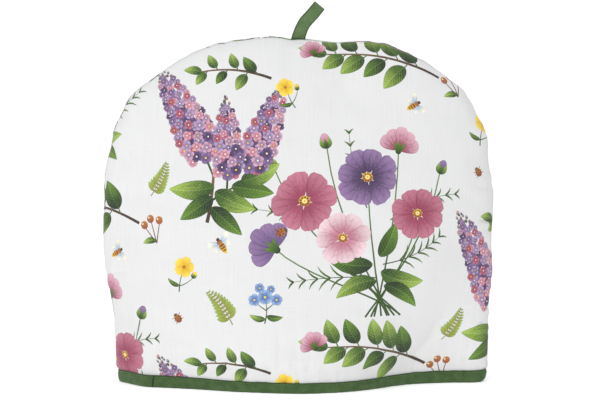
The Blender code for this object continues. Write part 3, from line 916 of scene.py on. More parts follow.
def finer(grid):
    """The same grid with more rows and columns, smoothed over the spacing it had."""
    for _ in range(2):
        rows = np.arange(len(grid))
        more = np.linspace(0.0, len(grid) - 1.0, SWELL_FINER * (len(grid) - 1) + 1)
        grid = np.array([np.interp(more, rows, column) for column in grid.T])
        blur = np.ones(SWELL_FINER + 1) / (SWELL_FINER + 1)
        for _ in range(2):
            grid = np.array([np.convolve(row, blur, "same") for row in grid])
    return grid


def raised_cloth(side, places, height):
    """The even form's outer face, raised along its normal by this much in metres."""
    return on_cloth(side, places) + facing(on_cloth, side, places) * height[:, None]


SWELLING = {side: swell(side) for side in HEMS}


def outer_cloth(side, places):
    """Points of a panel's outer face with its gathers and creases."""
    height = relief(side, places)
    if SWELLING[side] is not None:
        share_up = (places[:, 1] - SWELL_UP[0]) / np.ptp(SWELL_UP)
        share_across = (places[:, 0] - SWELL_ACROSS[0]) / np.ptp(SWELL_ACROSS)
        height = height + read_grid(SWELLING[side], share_up, share_across) * MM
    return raised_cloth(side, places, height)


def lining_cloth(side, places):
    """Points of a panel's lining."""
    return on_cloth(side, places, lining=True)


SEAM_SHADE_REACH = 7.0      # mm from the seam within which the rolled lip gets a little painted shade
LINING_CLEAR = 4.0          # mm in from the lining's edge where its even grid starts
LIP_CLEAR = 1.2             # mm from the innermost ring of the lip to the outer face's even grid


def cut_lining(side, rim):
    """The lining, cut to the printed face's rim, and its own rim from the same place on."""
    places, triangles, _ = cut_cloth(side, rim[:, 0] + 1j * rim[:, 1],
                                     inside_points(side, LINING_STEP, LINING_CLEAR), [])
    loop = boundary_loop(triangles)
    if len(loop) != len(rim):
        raise ValueError("the lining's edge doesn't match the printed face's")
    return places, triangles, np.roll(loop, -np.hypot(*(places[loop] - rim[0]).T).argmin())


def make_panel(name, side, material):
    """One panel: the printed face, the lining, and the pressed margin that joins them."""
    printed = shapes_on(CUT_FROM[side])
    points = np.concatenate([inside_points(side, CLOTH_STEP, LIP_RINGS[-1] + LIP_CLEAR),
                             lip_points(side)])
    places, triangles, owners = cut_cloth(side, cloth_outline(side), points,
                                          [outline for outline, _, _ in printed])
    loop = np.array(boundary_loop(triangles))
    lining_places, lining_triangles, lining_loop = cut_lining(side, places[loop])

    sheets = ((outer_cloth, places, 1.0), (lining_cloth, lining_places, -1.0))
    vertices = np.concatenate([surface(side, at) for surface, at, _ in sheets])
    normals = np.concatenate([facing(surface, side, at, way) for surface, at, way in sheets])
    opposite = lining_loop + len(places)
    after, opposite_after = np.roll(loop, -1), np.roll(opposite, -1)
    faces = np.concatenate([
        triangles, lining_triangles[:, ::-1] + len(places),
        np.stack([loop, opposite, opposite_after], 1), np.stack([loop, opposite_after, after], 1)])
    if side > 0:
        faces = faces[:, ::-1]

    panel = add_mesh(name, vertices.tolist(), [], faces.tolist(), material)
    smooth = len(triangles) + len(lining_triangles)
    a, b, c = (vertices[faces[smooth:, k]] for k in range(3))
    corner_normals = np.concatenate([normals[faces[:smooth].ravel()],
                                     np.repeat(unit(np.cross(b - a, c - a)), 3, axis=0)])
    places = np.concatenate([places, lining_places])
    angle = np.arctan2(np.maximum(places[:, 1], 0.0), places[:, 0])
    from_seam = edge_reach(side, angle) - np.hypot(*places.T)
    # where each point lies on the flat cloth, and its distance from the seam for the painted shade
    # there
    keep(panel.data, "cloth", "POINT",
         np.column_stack([places, np.clip(from_seam, 0.0, SEAM_SHADE_REACH)]))
    ink_corners(panel.data, places, faces, owners, printed)
    lay_out_finish(panel.data, side, places, faces, len(triangles), smooth)
    panel.data.normals_split_custom_set(corner_normals.tolist())
    return panel


def keep(mesh, name, domain, values):
    """Keep one number or three for each point or corner of a mesh."""
    kind, field = ("FLOAT", "value") if values.ndim == 1 else ("FLOAT_VECTOR", "vector")
    kept = mesh.attributes.new(name, kind, domain)
    kept.data.foreach_set(field, values.astype(np.float32).ravel())


def ink_corners(mesh, places, faces, owners, printed):
    """Keep each printed triangle's inks and its place in its shape, at its corners."""
    corners = 3 * len(faces)
    inks = {name: np.zeros((corners, 3)) for name in ("ink_root", "ink_tip", "stroke", "manner")}
    inks.update({name: np.zeros(corners) for name in ("run", "inked")})
    at = places[faces[:len(owners)]]
    at = at[..., 0] + 1j * at[..., 1]
    order = np.argsort(owners, kind="stable")
    bounds = np.searchsorted(owners[order], np.arange(len(printed) + 1))
    for number, (_, move, (_, reader, root, tip, manner)) in enumerate(printed):
        mine = order[bounds[number]:bounds[number + 1]]
        if not len(mine):
            continue
        here = (3 * mine[:, None] + np.arange(3)).ravel()
        run, length, across, half = reader(at[mine].ravel() - move)
        stroke = np.stack([length, across, half + 0.0 * length], 1)
        for kept, values in zip(inks.values(), (root, tip, stroke, manner, run, 1.0)):
            kept[here] = values
    for name, values in inks.items():
        keep(mesh, name, "CORNER", values)


BAKE_WIDTH = 0.94           # share of the finish's square taken by the outer face
BAKE_MARGIN = 0.01
LINING_SHARE = 0.17         # size of the lining there, beside the outer face, and its place
LINING_CORNER = (0.12, 0.85)
RIM_STRIP = (0.30, 0.96, 0.92, 0.93)    # left, right, bottom, top of the rim there


def lay_out_finish(mesh, side, places, faces, outer, smooth):
    """The map through which the finish is baked: outer face, lining and rim side by side."""
    size = BAKE_WIDTH / (2.0 * abs(places[:, 0]).max())
    laid = places * size + (0.5, BAKE_MARGIN - PRINT_FOOT * size)
    small = places * size * LINING_SHARE / BAKE_WIDTH + LINING_CORNER
    left, right, bottom, top = RIM_STRIP
    steps = np.linspace(left, right, (len(faces) - smooth) // 2 + 1)
    low, high = (np.stack([steps, np.full(len(steps), height)], 1) for height in (bottom, top))
    band = np.concatenate([np.stack([low[:-1], high[:-1], high[1:]], 1),
                           np.stack([low[:-1], high[1:], low[1:]], 1)])
    if side > 0:
        band = band[:, ::-1]
    uv = np.concatenate([laid[faces[:outer]], small[faces[outer:smooth]], band])
    mesh.uv_layers.new(name="OFBake").uv.foreach_set("vector", uv.astype(np.float32).ravel())


class Wire:
    """A value travelling between nodes, so that shader maths reads as plain expressions."""

    def __init__(self, socket):
        self.socket = socket
        self.tree = socket.id_data

    def maths(self, operation, *others):
        made = add_node(self.tree, "Math", {"operation": operation})
        for slot, value in zip(made.inputs, (self, *others)):
            connect(self.tree, slot, value)
        return Wire(made.outputs[0])

    def __add__(self, other):
        return self.maths("ADD", other)

    __radd__ = __add__

    def __sub__(self, other):
        return self.maths("SUBTRACT", other)

    def __rsub__(self, other):
        return (self * -1.0) + other

    def __mul__(self, other):
        return self.maths("MULTIPLY", other)

    __rmul__ = __mul__

    def __truediv__(self, other):
        return self.maths("DIVIDE", other)

    def __abs__(self):
        return self.maths("ABSOLUTE")

    def sin(self):
        return self.maths("SINE")

    def step(self, start, end):
        """0 up to start, 1 from end, and smooth between. Start may lie above end."""
        made = add_node(self.tree, "MapRange", {"interpolation_type": "SMOOTHSTEP"}, Value=self,
                        From_Min=min(start, end), From_Max=max(start, end))
        shade = Wire(made.outputs["Result"])
        return shade if start < end else 1.0 - shade

    def mix(self, first, second):
        """The first colour where this is 0, the second where it is 1."""
        made = add_node(self.tree, "Mix", {"data_type": "RGBA"})
        colours = [colour if isinstance(colour, (Wire, bpy.types.Node)) else (*colour, 1.0)
                   for colour in (first, second)]
        for slot, value in zip((made.inputs[0], made.inputs[6], made.inputs[7]), (self, *colours)):
            connect(self.tree, slot, value)
        return Wire(made.outputs[2])


def connect(tree, slot, value):
    """Set an input to a number or colour, or link it to a wire, a socket or a node's first output."""
    if isinstance(value, Wire):
        tree.links.new(value.socket, slot)
    elif isinstance(value, bpy.types.NodeSocket):
        tree.links.new(value, slot)
    elif isinstance(value, bpy.types.Node):
        tree.links.new(value.outputs[0], slot)
    else:
        slot.default_value = value


def add_node(tree, kind, settings=None, **inputs):
    """A node of this type. Its settings are set first, then its inputs by name."""
    made = tree.nodes.new(kind if "Node" in kind else "ShaderNode" + kind)
    for name, value in (settings or {}).items():
        setattr(made, name, value)
    for name, value in inputs.items():
        connect(tree, made.inputs[name.replace("_", " ")], value)
    return made


WHITE = (1.0, 1.0, 1.0)
SHEEN_ROUGHNESS = 0.55
CLOTH_SPECULAR = 0.25


def new_material(name, **inputs):
    """A new material, its node tree and its shader, whose inputs are set by name."""
    material = bpy.data.materials.new(name)
    material.use_nodes = True
    shader = material.node_tree.nodes["Principled BSDF"]
    for slot, value in inputs.items():
        shader.inputs[slot.replace("_", " ")].default_value = value
    return material, material.node_tree, shader


def cloth_material(name, roughness, sheen, sheen_tint):
    """A new cloth finish: its material, its node tree and its shader."""
    return new_material(name, Roughness=roughness, Specular_IOR_Level=CLOTH_SPECULAR,
                        Sheen_Weight=sheen, Sheen_Roughness=SHEEN_ROUGHNESS,
                        Sheen_Tint=(*sheen_tint, 1.0))


def finish(tree, shader, colour, bump, depth, height):
    """Link a cloth's colour, and the relief of its threads."""
    tree.links.new(colour.socket, shader.inputs["Base Color"])
    relieved = add_node(tree, "Bump", None, Strength=bump, Distance=depth, Height=height)
    tree.links.new(relieved.outputs["Normal"], shader.inputs["Normal"])


def attribute(tree, name, output="Vector"):
    """What the mesh keeps under this name."""
    return Wire(add_node(tree, "Attribute", {"attribute_name": name}).outputs[output])


def parts(tree, vector):
    """The three numbers of a vector."""
    split = add_node(tree, "SeparateXYZ", None, Vector=vector)
    return [Wire(split.outputs[axis]) for axis in "XYZ"]


def noise(tree, place, scale=1.0, detail=2.0, roughness=0.5):
    """Soft noise from 0 to 1."""
    return Wire(add_node(tree, "TexNoise", None, Vector=place, Scale=scale, Detail=detail,
                         Roughness=roughness).outputs["Fac"])


WEFT_SLUBS, WARP_SLUBS = (0.06, 1.3, 0.0), (1.3, 0.03, 0.0)     # how their streaks are drawn out


def woven(tree, place, pitch, slant=0.0):
    """Plain weave at this pitch in mm: the height of the threads 0..1, and their slubs 0..1."""
    turned = add_node(tree, "VectorRotate", {"rotation_type": "Z_AXIS"}, Vector=place, Angle=slant)
    across, up = (part * (math.pi / pitch) for part in parts(tree, turned)[:2])
    over = abs(across.sin()) * (up.sin().maths("SIGN") * across.maths("COSINE").maths("SIGN"))
    threads = 0.5 + 0.25 * over + 0.25 * across.sin() * up.sin()
    weft, warp = (noise(tree, add_node(tree, "Mapping", None, Vector=turned, Scale=streaks))
                  for streaks in (WEFT_SLUBS, WARP_SLUBS))
    return threads, 0.35 * weft + 0.65 * warp


COTTON = (0.755, 0.752, 0.748)      # the bare printed cotton and its lining
COTTON_SHADE = (0.705, 0.702, 0.705)    # where its threads run thicker
COTTON_PITCH = 0.55                 # mm from thread to thread
INK_LOST = 0.14                     # how much ink thick slubs miss between the threads
# painted shade along the seam, where the cloth rolls away from the light and the groove lies
SEAM_SHADE_GREY = (0.30, 0.29, 0.31)
SEAM_SHADE_STRENGTH = 0.40                # how far the painted shade takes the cloth at the seam itself towards that grey
SEAM_SHADE_LINE, SEAM_SHADE_LINE_SHARE = (2.2, 0.4), 0.55   # mm from the seam: a line of painted shade in the groove, darker than the rest
# the print's pen work: how strong each kind of stroke is, and from where to where its edge blurs
FAN_INK, SHADE_INK, RIB_INK, MIDRIB_INK, OUTLINE_INK = 0.32, 0.75, 0.42, 0.6, 0.8
FAN_BLUR, SHADE_BLUR, RIB_BLUR = (0.35, 1.0), (-0.25, 0.35), (0.62, 1.0)
MIDRIB_BLUR, OUTLINE_BLUR = (0.42, 0.12), (0.50, 0.12)      # mm from the middle, and from the edge
FAN_RAYS = 9.0                      # radians from the middle of a petal to its edge
RIB_RATE, RIB_SLANT = 2.3, 0.9      # radians for each mm along a leaf, and how the ribs slant
BRUSH_ALONG, BRUSH_ACROSS = 0.22, 5.0       # how the brush marks are drawn out along a shape
BLEND_WAVER, FAN_WAVER, SHADE_WAVER = 0.9, 3.0, 1.5         # how far they disturb the strokes
DARKER, DARKEST, PALER = 1.45, 2.1, 0.6     # the gammas of an ink's own shades
THINNEST = 0.2                      # mm: the least half width that a stroke is drawn for


def printed_cotton(name):
    """Off-white cotton with the print's inks, fine strokes, veins and pen lines, and painted seam
    shade.
    """
    material, tree, shader = cloth_material(name, roughness=0.86, sheen=0.12, sheen_tint=WHITE)
    place = attribute(tree, "cloth")
    threads, slubs = woven(tree, place, COTTON_PITCH)
    thick = (slubs - 0.40) * 2.2 + 0.25 * (1.0 - threads)
    bare = thick.step(0.0, 1.0).mix(COTTON, COTTON_SHADE)

    length, across, half = parts(tree, attribute(tree, "stroke"))
    veined, hatched, penned = parts(tree, attribute(tree, "manner"))
    run, inked = attribute(tree, "run", "Fac"), attribute(tree, "inked", "Fac")
    inset = half - abs(across)
    share = across / half.maths("MAXIMUM", THINNEST)
    drawn = add_node(tree, "CombineXYZ", None, X=length * BRUSH_ALONG, Y=share * BRUSH_ACROSS,
                     Z=half)
    waver = noise(tree, drawn, detail=3.0, roughness=0.65) - 0.5
    blended = (run * 1.1 - 0.1 + waver * BLEND_WAVER).step(0.0, 1.0)
    ink = blended.mix(attribute(tree, "ink_root"), attribute(tree, "ink_tip"))

    fan = (share * FAN_RAYS + waver * FAN_WAVER).sin().step(*FAN_BLUR) * hatched
    ribs = ((length - abs(across) * RIB_SLANT) * RIB_RATE).sin().step(*RIB_BLUR) * veined
    midrib = abs(across).step(*MIDRIB_BLUR) * veined
    shaded = (share + waver * SHADE_WAVER).step(*SHADE_BLUR) * veined
    outline = inset.step(*OUTLINE_BLUR) * penned
    dark, deep, pale = (add_node(tree, "Gamma", None, Color=ink, Gamma=gamma)
                        for gamma in (DARKER, DARKEST, PALER))
    for strength, strokes, drawn_in in ((FAN_INK, fan, dark), (SHADE_INK, shaded, dark),
                                        (RIB_INK, ribs, pale), (MIDRIB_INK, midrib, pale),
                                        (OUTLINE_INK, outline, deep)):
        ink = (strokes * strength).mix(ink, drawn_in)
    colour = (inked * (1.0 - INK_LOST * slubs * (1.0 - threads))).mix(bare, ink)

    # painted shade: the cloth darkens towards the seam, most in a line in the groove
    from_seam = parts(tree, place)[2]
    painted_seam_shade = (SEAM_SHADE_LINE_SHARE * from_seam.step(*SEAM_SHADE_LINE)
              + (1.0 - SEAM_SHADE_LINE_SHARE) * from_seam.step(SEAM_SHADE_REACH, 0.0))
    colour = (painted_seam_shade * SEAM_SHADE_STRENGTH).mix(colour, SEAM_SHADE_GREY)
    finish(tree, shader, colour, bump=0.35, depth=0.00012, height=threads * 0.7 + slubs * 0.9)
    return material


front_panel = make_panel("front_panel_cloth", FRONT, printed_cotton("front_cotton"))
back_panel = make_panel("back_panel_cloth", BACK, printed_cotton("back_cotton"))
for panel, node in ((front_panel, "front_panel"), (back_panel, "back_panel")):
    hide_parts(node)
    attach(panel, "root")


# The hem binding
# Bias-cut green cotton tape with both edges turned in, folded over the raw edge of both panels
# and machine-sewn through near its upper edge. It starts and ends at the front left, where one
# end is turned under and lapped over the other.

NOSE_SHARE = 0.955          # inside, the tape stops following the panels this near each end
NOSE_REACH = 0.0015
HEM_LEVEL = -4.0            # height on the flat cloth at which its plan is read
BINDING_STEP = 1.5          # mm between sections
ROLLED_UNDER = 1.5          # mm by which its upper edge is lower about the middle of the front
ROLLED_MIDDLE, ROLLED_REACH = 10.0, 95.0    # mm across the front: where, and how far either way
JOIN = -122.6               # mm along the front from its middle to the lapped end
JOIN_SLANT = 0.12
LAP = 7.0                   # length of tape that lies double
LAP_RISE = 0.75             # mm by which its fold stands off
LAP_FADE = (0.75, 4.0)      # how much of that fades behind the fold, and over how many mm
LAP_STEP = 0.45             # mm over which the fold steps down
LAP_GAPS = (0.0, 0.12, 0.3, 0.6, 1.2)   # mm either way from the join to sections of its own
LAP_CLEAR = 1.6             # and the even sections keep this far off
TAPE_MIDDLE = 5.0           # height at which the lapped end is at its join
END_PULL = 0.4              # how much tighter the tape is pulled round the hem's left end
END_PULL_REACH = 0.008
STITCH_PITCH = 2.7          # mm from one stitch to the next
SEWN_LINE = 1.7             # mm from the tape's upper edge to its stitches
SEWN_PULL, SEWN_REACH = 0.12, 1.1       # how far each stitch draws the tape in, and beside it
COCKLE, COCKLE_LENGTH = 0.16, 17.0      # the tape's slow waves between the stitches
EDGE_WAVE, EDGE_WAVE_LENGTH = 0.35, 23.0    # and those of its upper edge
UNDER_HEM = 5.0             # mm of tape that the weave runs on for between the two legs
UNDER_FOLDS = (9.0, 14.0)   # where it has the two folds under the panels, mm past the inner leg
TAPE_GREEN = (0.040, 0.080, 0.024)
TAPE_WORN = (0.086, 0.150, 0.054)
TAPE_PITCH = 0.42
BIAS = math.radians(45.0)
FOLD_SHADE_WIDTH = 1.8            # mm of painted shade beside each folded edge
FOLD_SHADE = 0.45
BINDING_FOLDS = (0.7, 11.6)     # mm down the tape: its upper edge, and where it turns under
LAPPED_END_SHADOW = (5.3, 0.4)    # painted shadow under the lapped end's fold: middle of the tape, mm past the join
# section of one leg from its upper edge down: (height under the top, stand-off from the cloth), mm
LEG = ((0.45, 0.0), (0.08, 0.25), (0.0, 0.62), (0.25, 0.98), (0.8, 1.12), (1.3, 0.95), (1.7, 0.68),
       (2.15, 0.92), (3.0, 1.16), (4.6, 1.26), (6.6, 1.28), (8.3, 1.16), (9.4, 0.88), (10.1, 0.40),
       (10.4, -0.45))


def hem_ring(side, places, lining):
    """Plan of one panel's hem at places across the flat cloth, closed to the seam at its ends."""
    flat = np.stack([places, np.full(len(places), HEM_LEVEL)], axis=1)
    if lining:
        share = abs(places) / edge_reach(side, np.where(places > 0, 0.0, math.pi))
        nose = np.clip((1.0 - share) / (1.0 - NOSE_SHARE), 0.0, 1.0)
        flat[:, 0] *= np.minimum(NOSE_SHARE / np.maximum(share, 1e-6), 1.0)
        plan = on_cloth(side, flat, True)[:, :2]
        plan[:, 0] += np.sign(places) * NOSE_REACH * (1.0 - nose**2)
        plan[:, 1] *= nose
        return plan[:, 0] + 1j * plan[:, 1]
    plan = outer_cloth(side, flat)
    plan[[0, -1], 1] = 0.0
    return plan[:, 0] + 1j * plan[:, 1]


def hem_places():
    """Places across the front and back cloth, close together where the lapped end steps down."""
    ends = {side: (-edge_reach(side, math.pi), edge_reach(side, 0.0)) for side in HEMS}
    counts = {side: int((right - left) / BINDING_STEP) for side, (left, right) in ends.items()}
    front = np.linspace(*ends[FRONT], counts[FRONT])
    step_down = JOIN + np.concatenate([[-gap, gap] for gap in LAP_GAPS])[1:]
    front = np.sort(np.concatenate([front[abs(front - JOIN) > LAP_CLEAR], step_down]))
    return front, np.linspace(*ends[BACK][::-1], counts[BACK])


def aside(ring):
    """Unit directions pointing outwards from a closed anticlockwise plan curve."""
    heading = np.roll(ring, -1) - np.roll(ring, 1)
    return -1j * heading / abs(heading)


def binding_rings():
    """The closed plans of the hem's outer and inner faces, and the length run along the tape."""
    front, back = hem_places()
    outer, inner = (np.concatenate([hem_ring(FRONT, front, lining),
                                    hem_ring(BACK, back, lining)[1:-1]])
                    for lining in (False, True))
    run = np.concatenate([[0.0], np.cumsum(abs(np.diff(outer)))]) / MM
    across = np.concatenate([front, back[1:-1]])
    ahead = np.arange(len(across)) < len(front)
    return outer, inner, run, across, ahead


SHARP = math.radians(62.0)  # a mesh's edges that turn more than this stay hard


def swept_mesh(name, rings, material, closed=True, flip=False):
    """A mesh from rows of points, each row joined to the next and closed on itself."""
    count = len(rings[0])
    last = len(rings) if closed else len(rings) - 1
    faces = []
    for r in range(last):
        here, there = r * count, (r + 1) % len(rings) * count
        for k in range(count):
            k2 = (k + 1) % count
            faces.append((here + k, here + k2, there + k2, there + k))
    if not closed:
        faces += [tuple(range(count))[::-1], tuple(range(last * count, last * count + count))]
    if flip:
        faces = [face[::-1] for face in faces]
    made = add_mesh(name, np.concatenate(rings).tolist(), [], faces, material)
    made.data.set_sharp_from_angle(angle=SHARP)
    return made


def lay_weave(piece, along_it, across_it):
    """Keep where each point lies on the flat tape, in mm, for the weave."""
    keep(piece.data, "cloth", "POINT", np.stack([along_it, across_it, 0.0 * along_it], axis=1))


def lapped(across, height):
    """How far the lapped end stands off, in mm: a folded edge on one side, fading on the other."""
    gone = JOIN + JOIN_SLANT * (height - TAPE_MIDDLE) - across
    settled = LAP_FADE[0] * ease((gone - LAP) / LAP_FADE[1])
    return LAP_RISE * ease(gone / LAP_STEP + 0.5) * (1.0 - settled)


def binding_leg(plan, out, run, across, ahead, top, sign):
    """One leg's rings from its upper edge down, with its puckers between the stitches."""
    rings, travelled, before = [], [], None
    tight = 0.5 + 0.5 * np.cos(2.0 * math.pi * run / STITCH_PITCH)
    slow = uneven_waves(run + 60.0 * sign, COCKLE_LENGTH, 2.0) - 0.4
    pulled = END_PULL * (1.0 - ease((plan.real + HEM_LEFT) / END_PULL_REACH))
    for below, stand in LEG:
        height = np.maximum(top - below * top / LEG[-1][0], 0.0)
        near = math.exp(-((below - SEWN_LINE) / SEWN_REACH) ** 2)
        stand = stand * (1.0 - pulled * (stand > 0.0))
        off = GAP / MM + stand - SEWN_PULL * near * tight * (stand > 0.0)
        off = off + COCKLE * slow * (stand > 0.3)
        if sign > 0:
            off = off + np.where(ahead, lapped(across, height), 0.0) * np.clip(stand, 0.0, 1.0)
        place = plan + sign * out * off * MM
        level = height * MM + lifted(place.real, height * MM)
        ring = np.stack([place.real, place.imag, level], axis=1)
        rings.append(ring)
        travelled.append(0.0 if before is None else travelled[-1]
                         + np.linalg.norm(ring - before, axis=1).mean() / MM)
        before = ring
    return rings, travelled


def make_binding(name, material):
    """The tape round the hem, and the line where its stitches lie on each leg."""
    outer, inner, run, across, ahead = binding_rings()
    out, into = aside(outer), aside(inner)
    top = BINDING_HEIGHT / MM - 0.1 + EDGE_WAVE * (uneven_waves(run, EDGE_WAVE_LENGTH, 0.4) - 0.3)
    rolled = np.exp(-((across - ROLLED_MIDDLE) / ROLLED_REACH) ** 4) * ahead
    top = top - ROLLED_UNDER * rolled
    outside, down = binding_leg(outer, out, run, across, ahead, top, 1)
    inside, up = binding_leg(inner, into, run, across, ahead, top, -1)
    under = [np.stack([plan.real, plan.imag, PANEL_BOTTOM - GAP + lifted(plan.real, 0.0)], axis=1)
             for plan in (inner - into * GAP, outer + out * GAP)]
    rings = outside + inside[::-1] + under
    developed = down + [down[-1] + UNDER_HEM + up[-1] - u for u in up[::-1]]
    developed += [developed[-1] + past for past in UNDER_FOLDS]
    piece = swept_mesh(name, list(np.array(rings).transpose(1, 0, 2)), material, flip=True)
    from_join = run - np.interp(JOIN, across[ahead], run[ahead])
    lay_weave(piece, np.repeat(from_join, len(rings)), np.tile(developed, len(run)))
    sewn = [at for at, (below, _) in enumerate(LEG) if abs(below - SEWN_LINE) < 0.01][0]
    return piece, (outside[sewn], inside[sewn])


def tape_material(name, green, worn, folds):
    """Green cotton tape: a plain weave on the bias, paler where rubbed, with painted shade at its
    folds and a painted shadow by the lapped end.
    """
    material, tree, shader = cloth_material(name, roughness=0.82, sheen=0.18,
                                            sheen_tint=(0.75, 1.0, 0.7))
    place = attribute(tree, "cloth")
    threads, slubs = woven(tree, place, TAPE_PITCH, BIAS)
    mottle = noise(tree, place, scale=0.16, detail=3.0)
    rubbed = (mottle - 0.5) * 1.2 + (threads - 0.5) * 0.5 + (slubs - 0.5) * 0.9 + 0.4
    colour = rubbed.step(0.0, 1.0).mix(green, worn)
    along, down, _ = parts(tree, place)
    low, high = folds
    # painted shade: darker green beside the folded edges, and a painted shadow line under the lapped
    # end's fold
    dark = down.step(low + FOLD_SHADE_WIDTH, low) + down.step(high - FOLD_SHADE_WIDTH, high)
    middle, past_join = LAPPED_END_SHADOW
    dark = dark + abs(along - JOIN_SLANT * (middle - down) - past_join).step(0.8, 0.3)
    painted_fold_shade = [FOLD_SHADE * c for c in green]
    colour = (dark * (0.75 + 0.5 * mottle)).step(0.0, 1.0).mix(colour, painted_fold_shade)
    finish(tree, shader, colour, bump=0.5, depth=0.00012, height=threads + slubs * 0.8)
    return material


binding, sewn_lines = make_binding(
    "hem_binding_tape", tape_material("binding_cotton", TAPE_GREEN, TAPE_WORN, BINDING_FOLDS))
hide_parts("hem_binding")
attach(binding, "root")


# The hem's machine stitches
# One line of green sewing thread on each leg of the tape, through the tape and the panel, with
# each stitch pulled a little into the cloth.

THREAD_GREEN = (0.135, 0.255, 0.095)
STITCH_LENGTH = 2.0
STITCH_WIDTH = 0.42
ASKEW = 0.06                # how far a stitch may turn from its line


def running_stitch():
    """Geometry nodes that lay one short thread after another along a line."""
    tree = bpy.data.node_groups.new("running_stitch", "GeometryNodeTree")
    face = tree.interface
    face.new_socket("Line", in_out="INPUT", socket_type="NodeSocketGeometry")
    for size in ("Pitch", "Length", "Width"):
        face.new_socket(size, in_out="INPUT", socket_type="NodeSocketFloat")
    face.new_socket("Thread", in_out="INPUT", socket_type="NodeSocketMaterial")
    face.new_socket("Stitches", in_out="OUTPUT", socket_type="NodeSocketGeometry")

    given = add_node(tree, "NodeGroupInput").outputs
    line = add_node(tree, "GeometryNodeMeshToCurve", Mesh=given["Line"])
    evened = add_node(tree, "GeometryNodeResampleCurve", {"mode": "LENGTH"}, Curve=line,
                      Length=given["Pitch"])
    ball = add_node(tree, "GeometryNodeMeshUVSphere", Segments=8, Rings=6, Radius=0.5)
    size = add_node(tree, "CombineXYZ", X=given["Length"], Y=given["Width"], Z=given["Width"])
    thread = add_node(tree, "GeometryNodeTransform", Geometry=ball, Scale=size)
    askew = add_node(tree, "FunctionNodeRandomValue", {"data_type": "FLOAT_VECTOR"},
                     Min=[-ASKEW] * 3, Max=[ASKEW] * 3, Seed=3)
    heading = add_node(tree, "VectorMath", {"operation": "ADD"})
    for slot, way in zip(heading.inputs, (add_node(tree, "GeometryNodeInputTangent"), askew)):
        connect(tree, slot, way)
    turned = add_node(tree, "FunctionNodeAlignRotationToVector", {"axis": "X"}, Vector=heading)
    laid = add_node(tree, "GeometryNodeInstanceOnPoints", Points=evened, Instance=thread,
                    Rotation=turned)
    real = add_node(tree, "GeometryNodeRealizeInstances", Geometry=laid)
    smooth = add_node(tree, "GeometryNodeSetShadeSmooth", Geometry=real)
    add_node(tree, "NodeGroupOutput", Stitches=add_node(
        tree, "GeometryNodeSetMaterial", Geometry=smooth, Material=given["Thread"]))
    return tree


def sew(name, lines, tree, thread):
    """Stitches along lines of (points, closed), as one plain mesh."""
    points, edges = [], []
    for line, closed in lines:
        first, count = len(points), len(line)
        points += line.tolist()
        last = count if closed else count - 1
        edges += [(first + k, first + (k + 1) % count) for k in range(last)]
    guide = add_mesh(name + "_guide", points, edges, [])
    nodes = guide.modifiers.new("stitches", "NODES")
    nodes.node_group = tree
    sizes = {"Pitch": STITCH_PITCH * MM, "Length": STITCH_LENGTH * MM, "Width": STITCH_WIDTH * MM,
             "Thread": thread}
    for socket in tree.interface.items_tree:
        if socket.in_out == "INPUT" and socket.name in sizes:
            nodes[socket.identifier] = sizes[socket.name]
    laid = guide.evaluated_get(bpy.context.evaluated_depsgraph_get())
    sewn = add_object(name, bpy.data.meshes.new_from_object(laid))
    bpy.data.objects.remove(guide)
    return sewn


def thread_material(name, colour):
    """Mercerised sewing thread with its twist."""
    material, tree, shader = cloth_material(name, roughness=0.55, sheen=0.1, sheen_tint=WHITE)
    place = Wire(add_node(tree, "TexCoord").outputs["Object"])
    twist = Wire(add_node(tree, "TexWave", {"bands_direction": "DIAGONAL"}, Vector=place,
                          Scale=900.0, Distortion=1.0).outputs["Fac"])
    darker = [0.6 * c for c in colour]
    finish(tree, shader, twist.mix(darker, colour), bump=0.4, depth=0.00008, height=twist)
    return material


stitch_nodes = running_stitch()
green_thread = thread_material("green_thread", THREAD_GREEN)
binding_stitches = sew("hem_binding_stitches", [(line, True) for line in sewn_lines],
                       stitch_nodes, green_thread)
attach(binding_stitches, "root")


# The hanging loop
# A short length of the same tape, its edges turned in and edge-stitched, folded in half and
# caught in the seam at the top. It has flopped over to the right.

LOOP_SPINE = (              # its middle line in the seam plane, from the seam to the fold
    (-0.0001, EDGE_TOP - 0.0010), (0.0016, 0.2870), (0.0050, 0.2944), (0.0119, 0.3023),
    (0.0178, 0.3094),
)
LOOP_WIDTH = 0.0106
LOOP_FOOT_WIDTH = 0.0117
LOOP_GAP = 0.0080           # between the legs where they stand furthest apart
LOOP_FULLNESS = 1.6
LOOP_SEWN = 0.0020
LOOP_TWIST = 0.012
LOOP_STEPS = 30
LOOP_TOUCH = 0.00004        # between the legs where they are sewn together
LOOP_FOOT = -0.0003         # its feet go down to the lips of the seam
LOOP_GREEN = (0.083, 0.145, 0.055)
LOOP_WORN = (0.137, 0.208, 0.090)
# across half of the tape from its middle: (share of half the width, share of half the thickness)
LOOP_SECTION = ((0.0, 0.94), (0.3, 0.98), (0.5, 1.0), (0.62, 0.92), (0.70, 0.74), (0.78, 0.92),
                (0.88, 1.0), (0.95, 0.82), (0.99, 0.42))
EDGE_STITCH = 0.70          # share of half the width at which its edges are stitched
LOOP_FOLDS = (-5.3, 5.3)    # mm across the tape: its two folded edges
LOOP_COCKLE, LOOP_COCKLE_LENGTH = 0.00022, 7.0


def spine_frame(distance):
    """Middle points and side directions of the tape at distances above the seam."""
    spine = np.array(LOOP_SPINE)
    run = np.concatenate([[0.0], np.cumsum(np.linalg.norm(np.diff(spine, axis=0), axis=1))])
    rows = [list(zip(run, spine[:, axis])) for axis in (0, 1)]
    place = np.clip(distance, 0.0, run[-1])
    step = 0.0005
    x, z = (smooth_values(row, place) for row in rows)
    x_before, z_before = (smooth_values(row, place - step) for row in rows)
    lean = np.where(place > step, np.arctan2(x - x_before, z - z_before), 0.0)
    lean = lean * ease(distance / LOOP_TWIST)
    return np.stack([x, z + np.minimum(distance, 0.0)], 1), np.stack([np.cos(lean), -np.sin(lean)], 1)


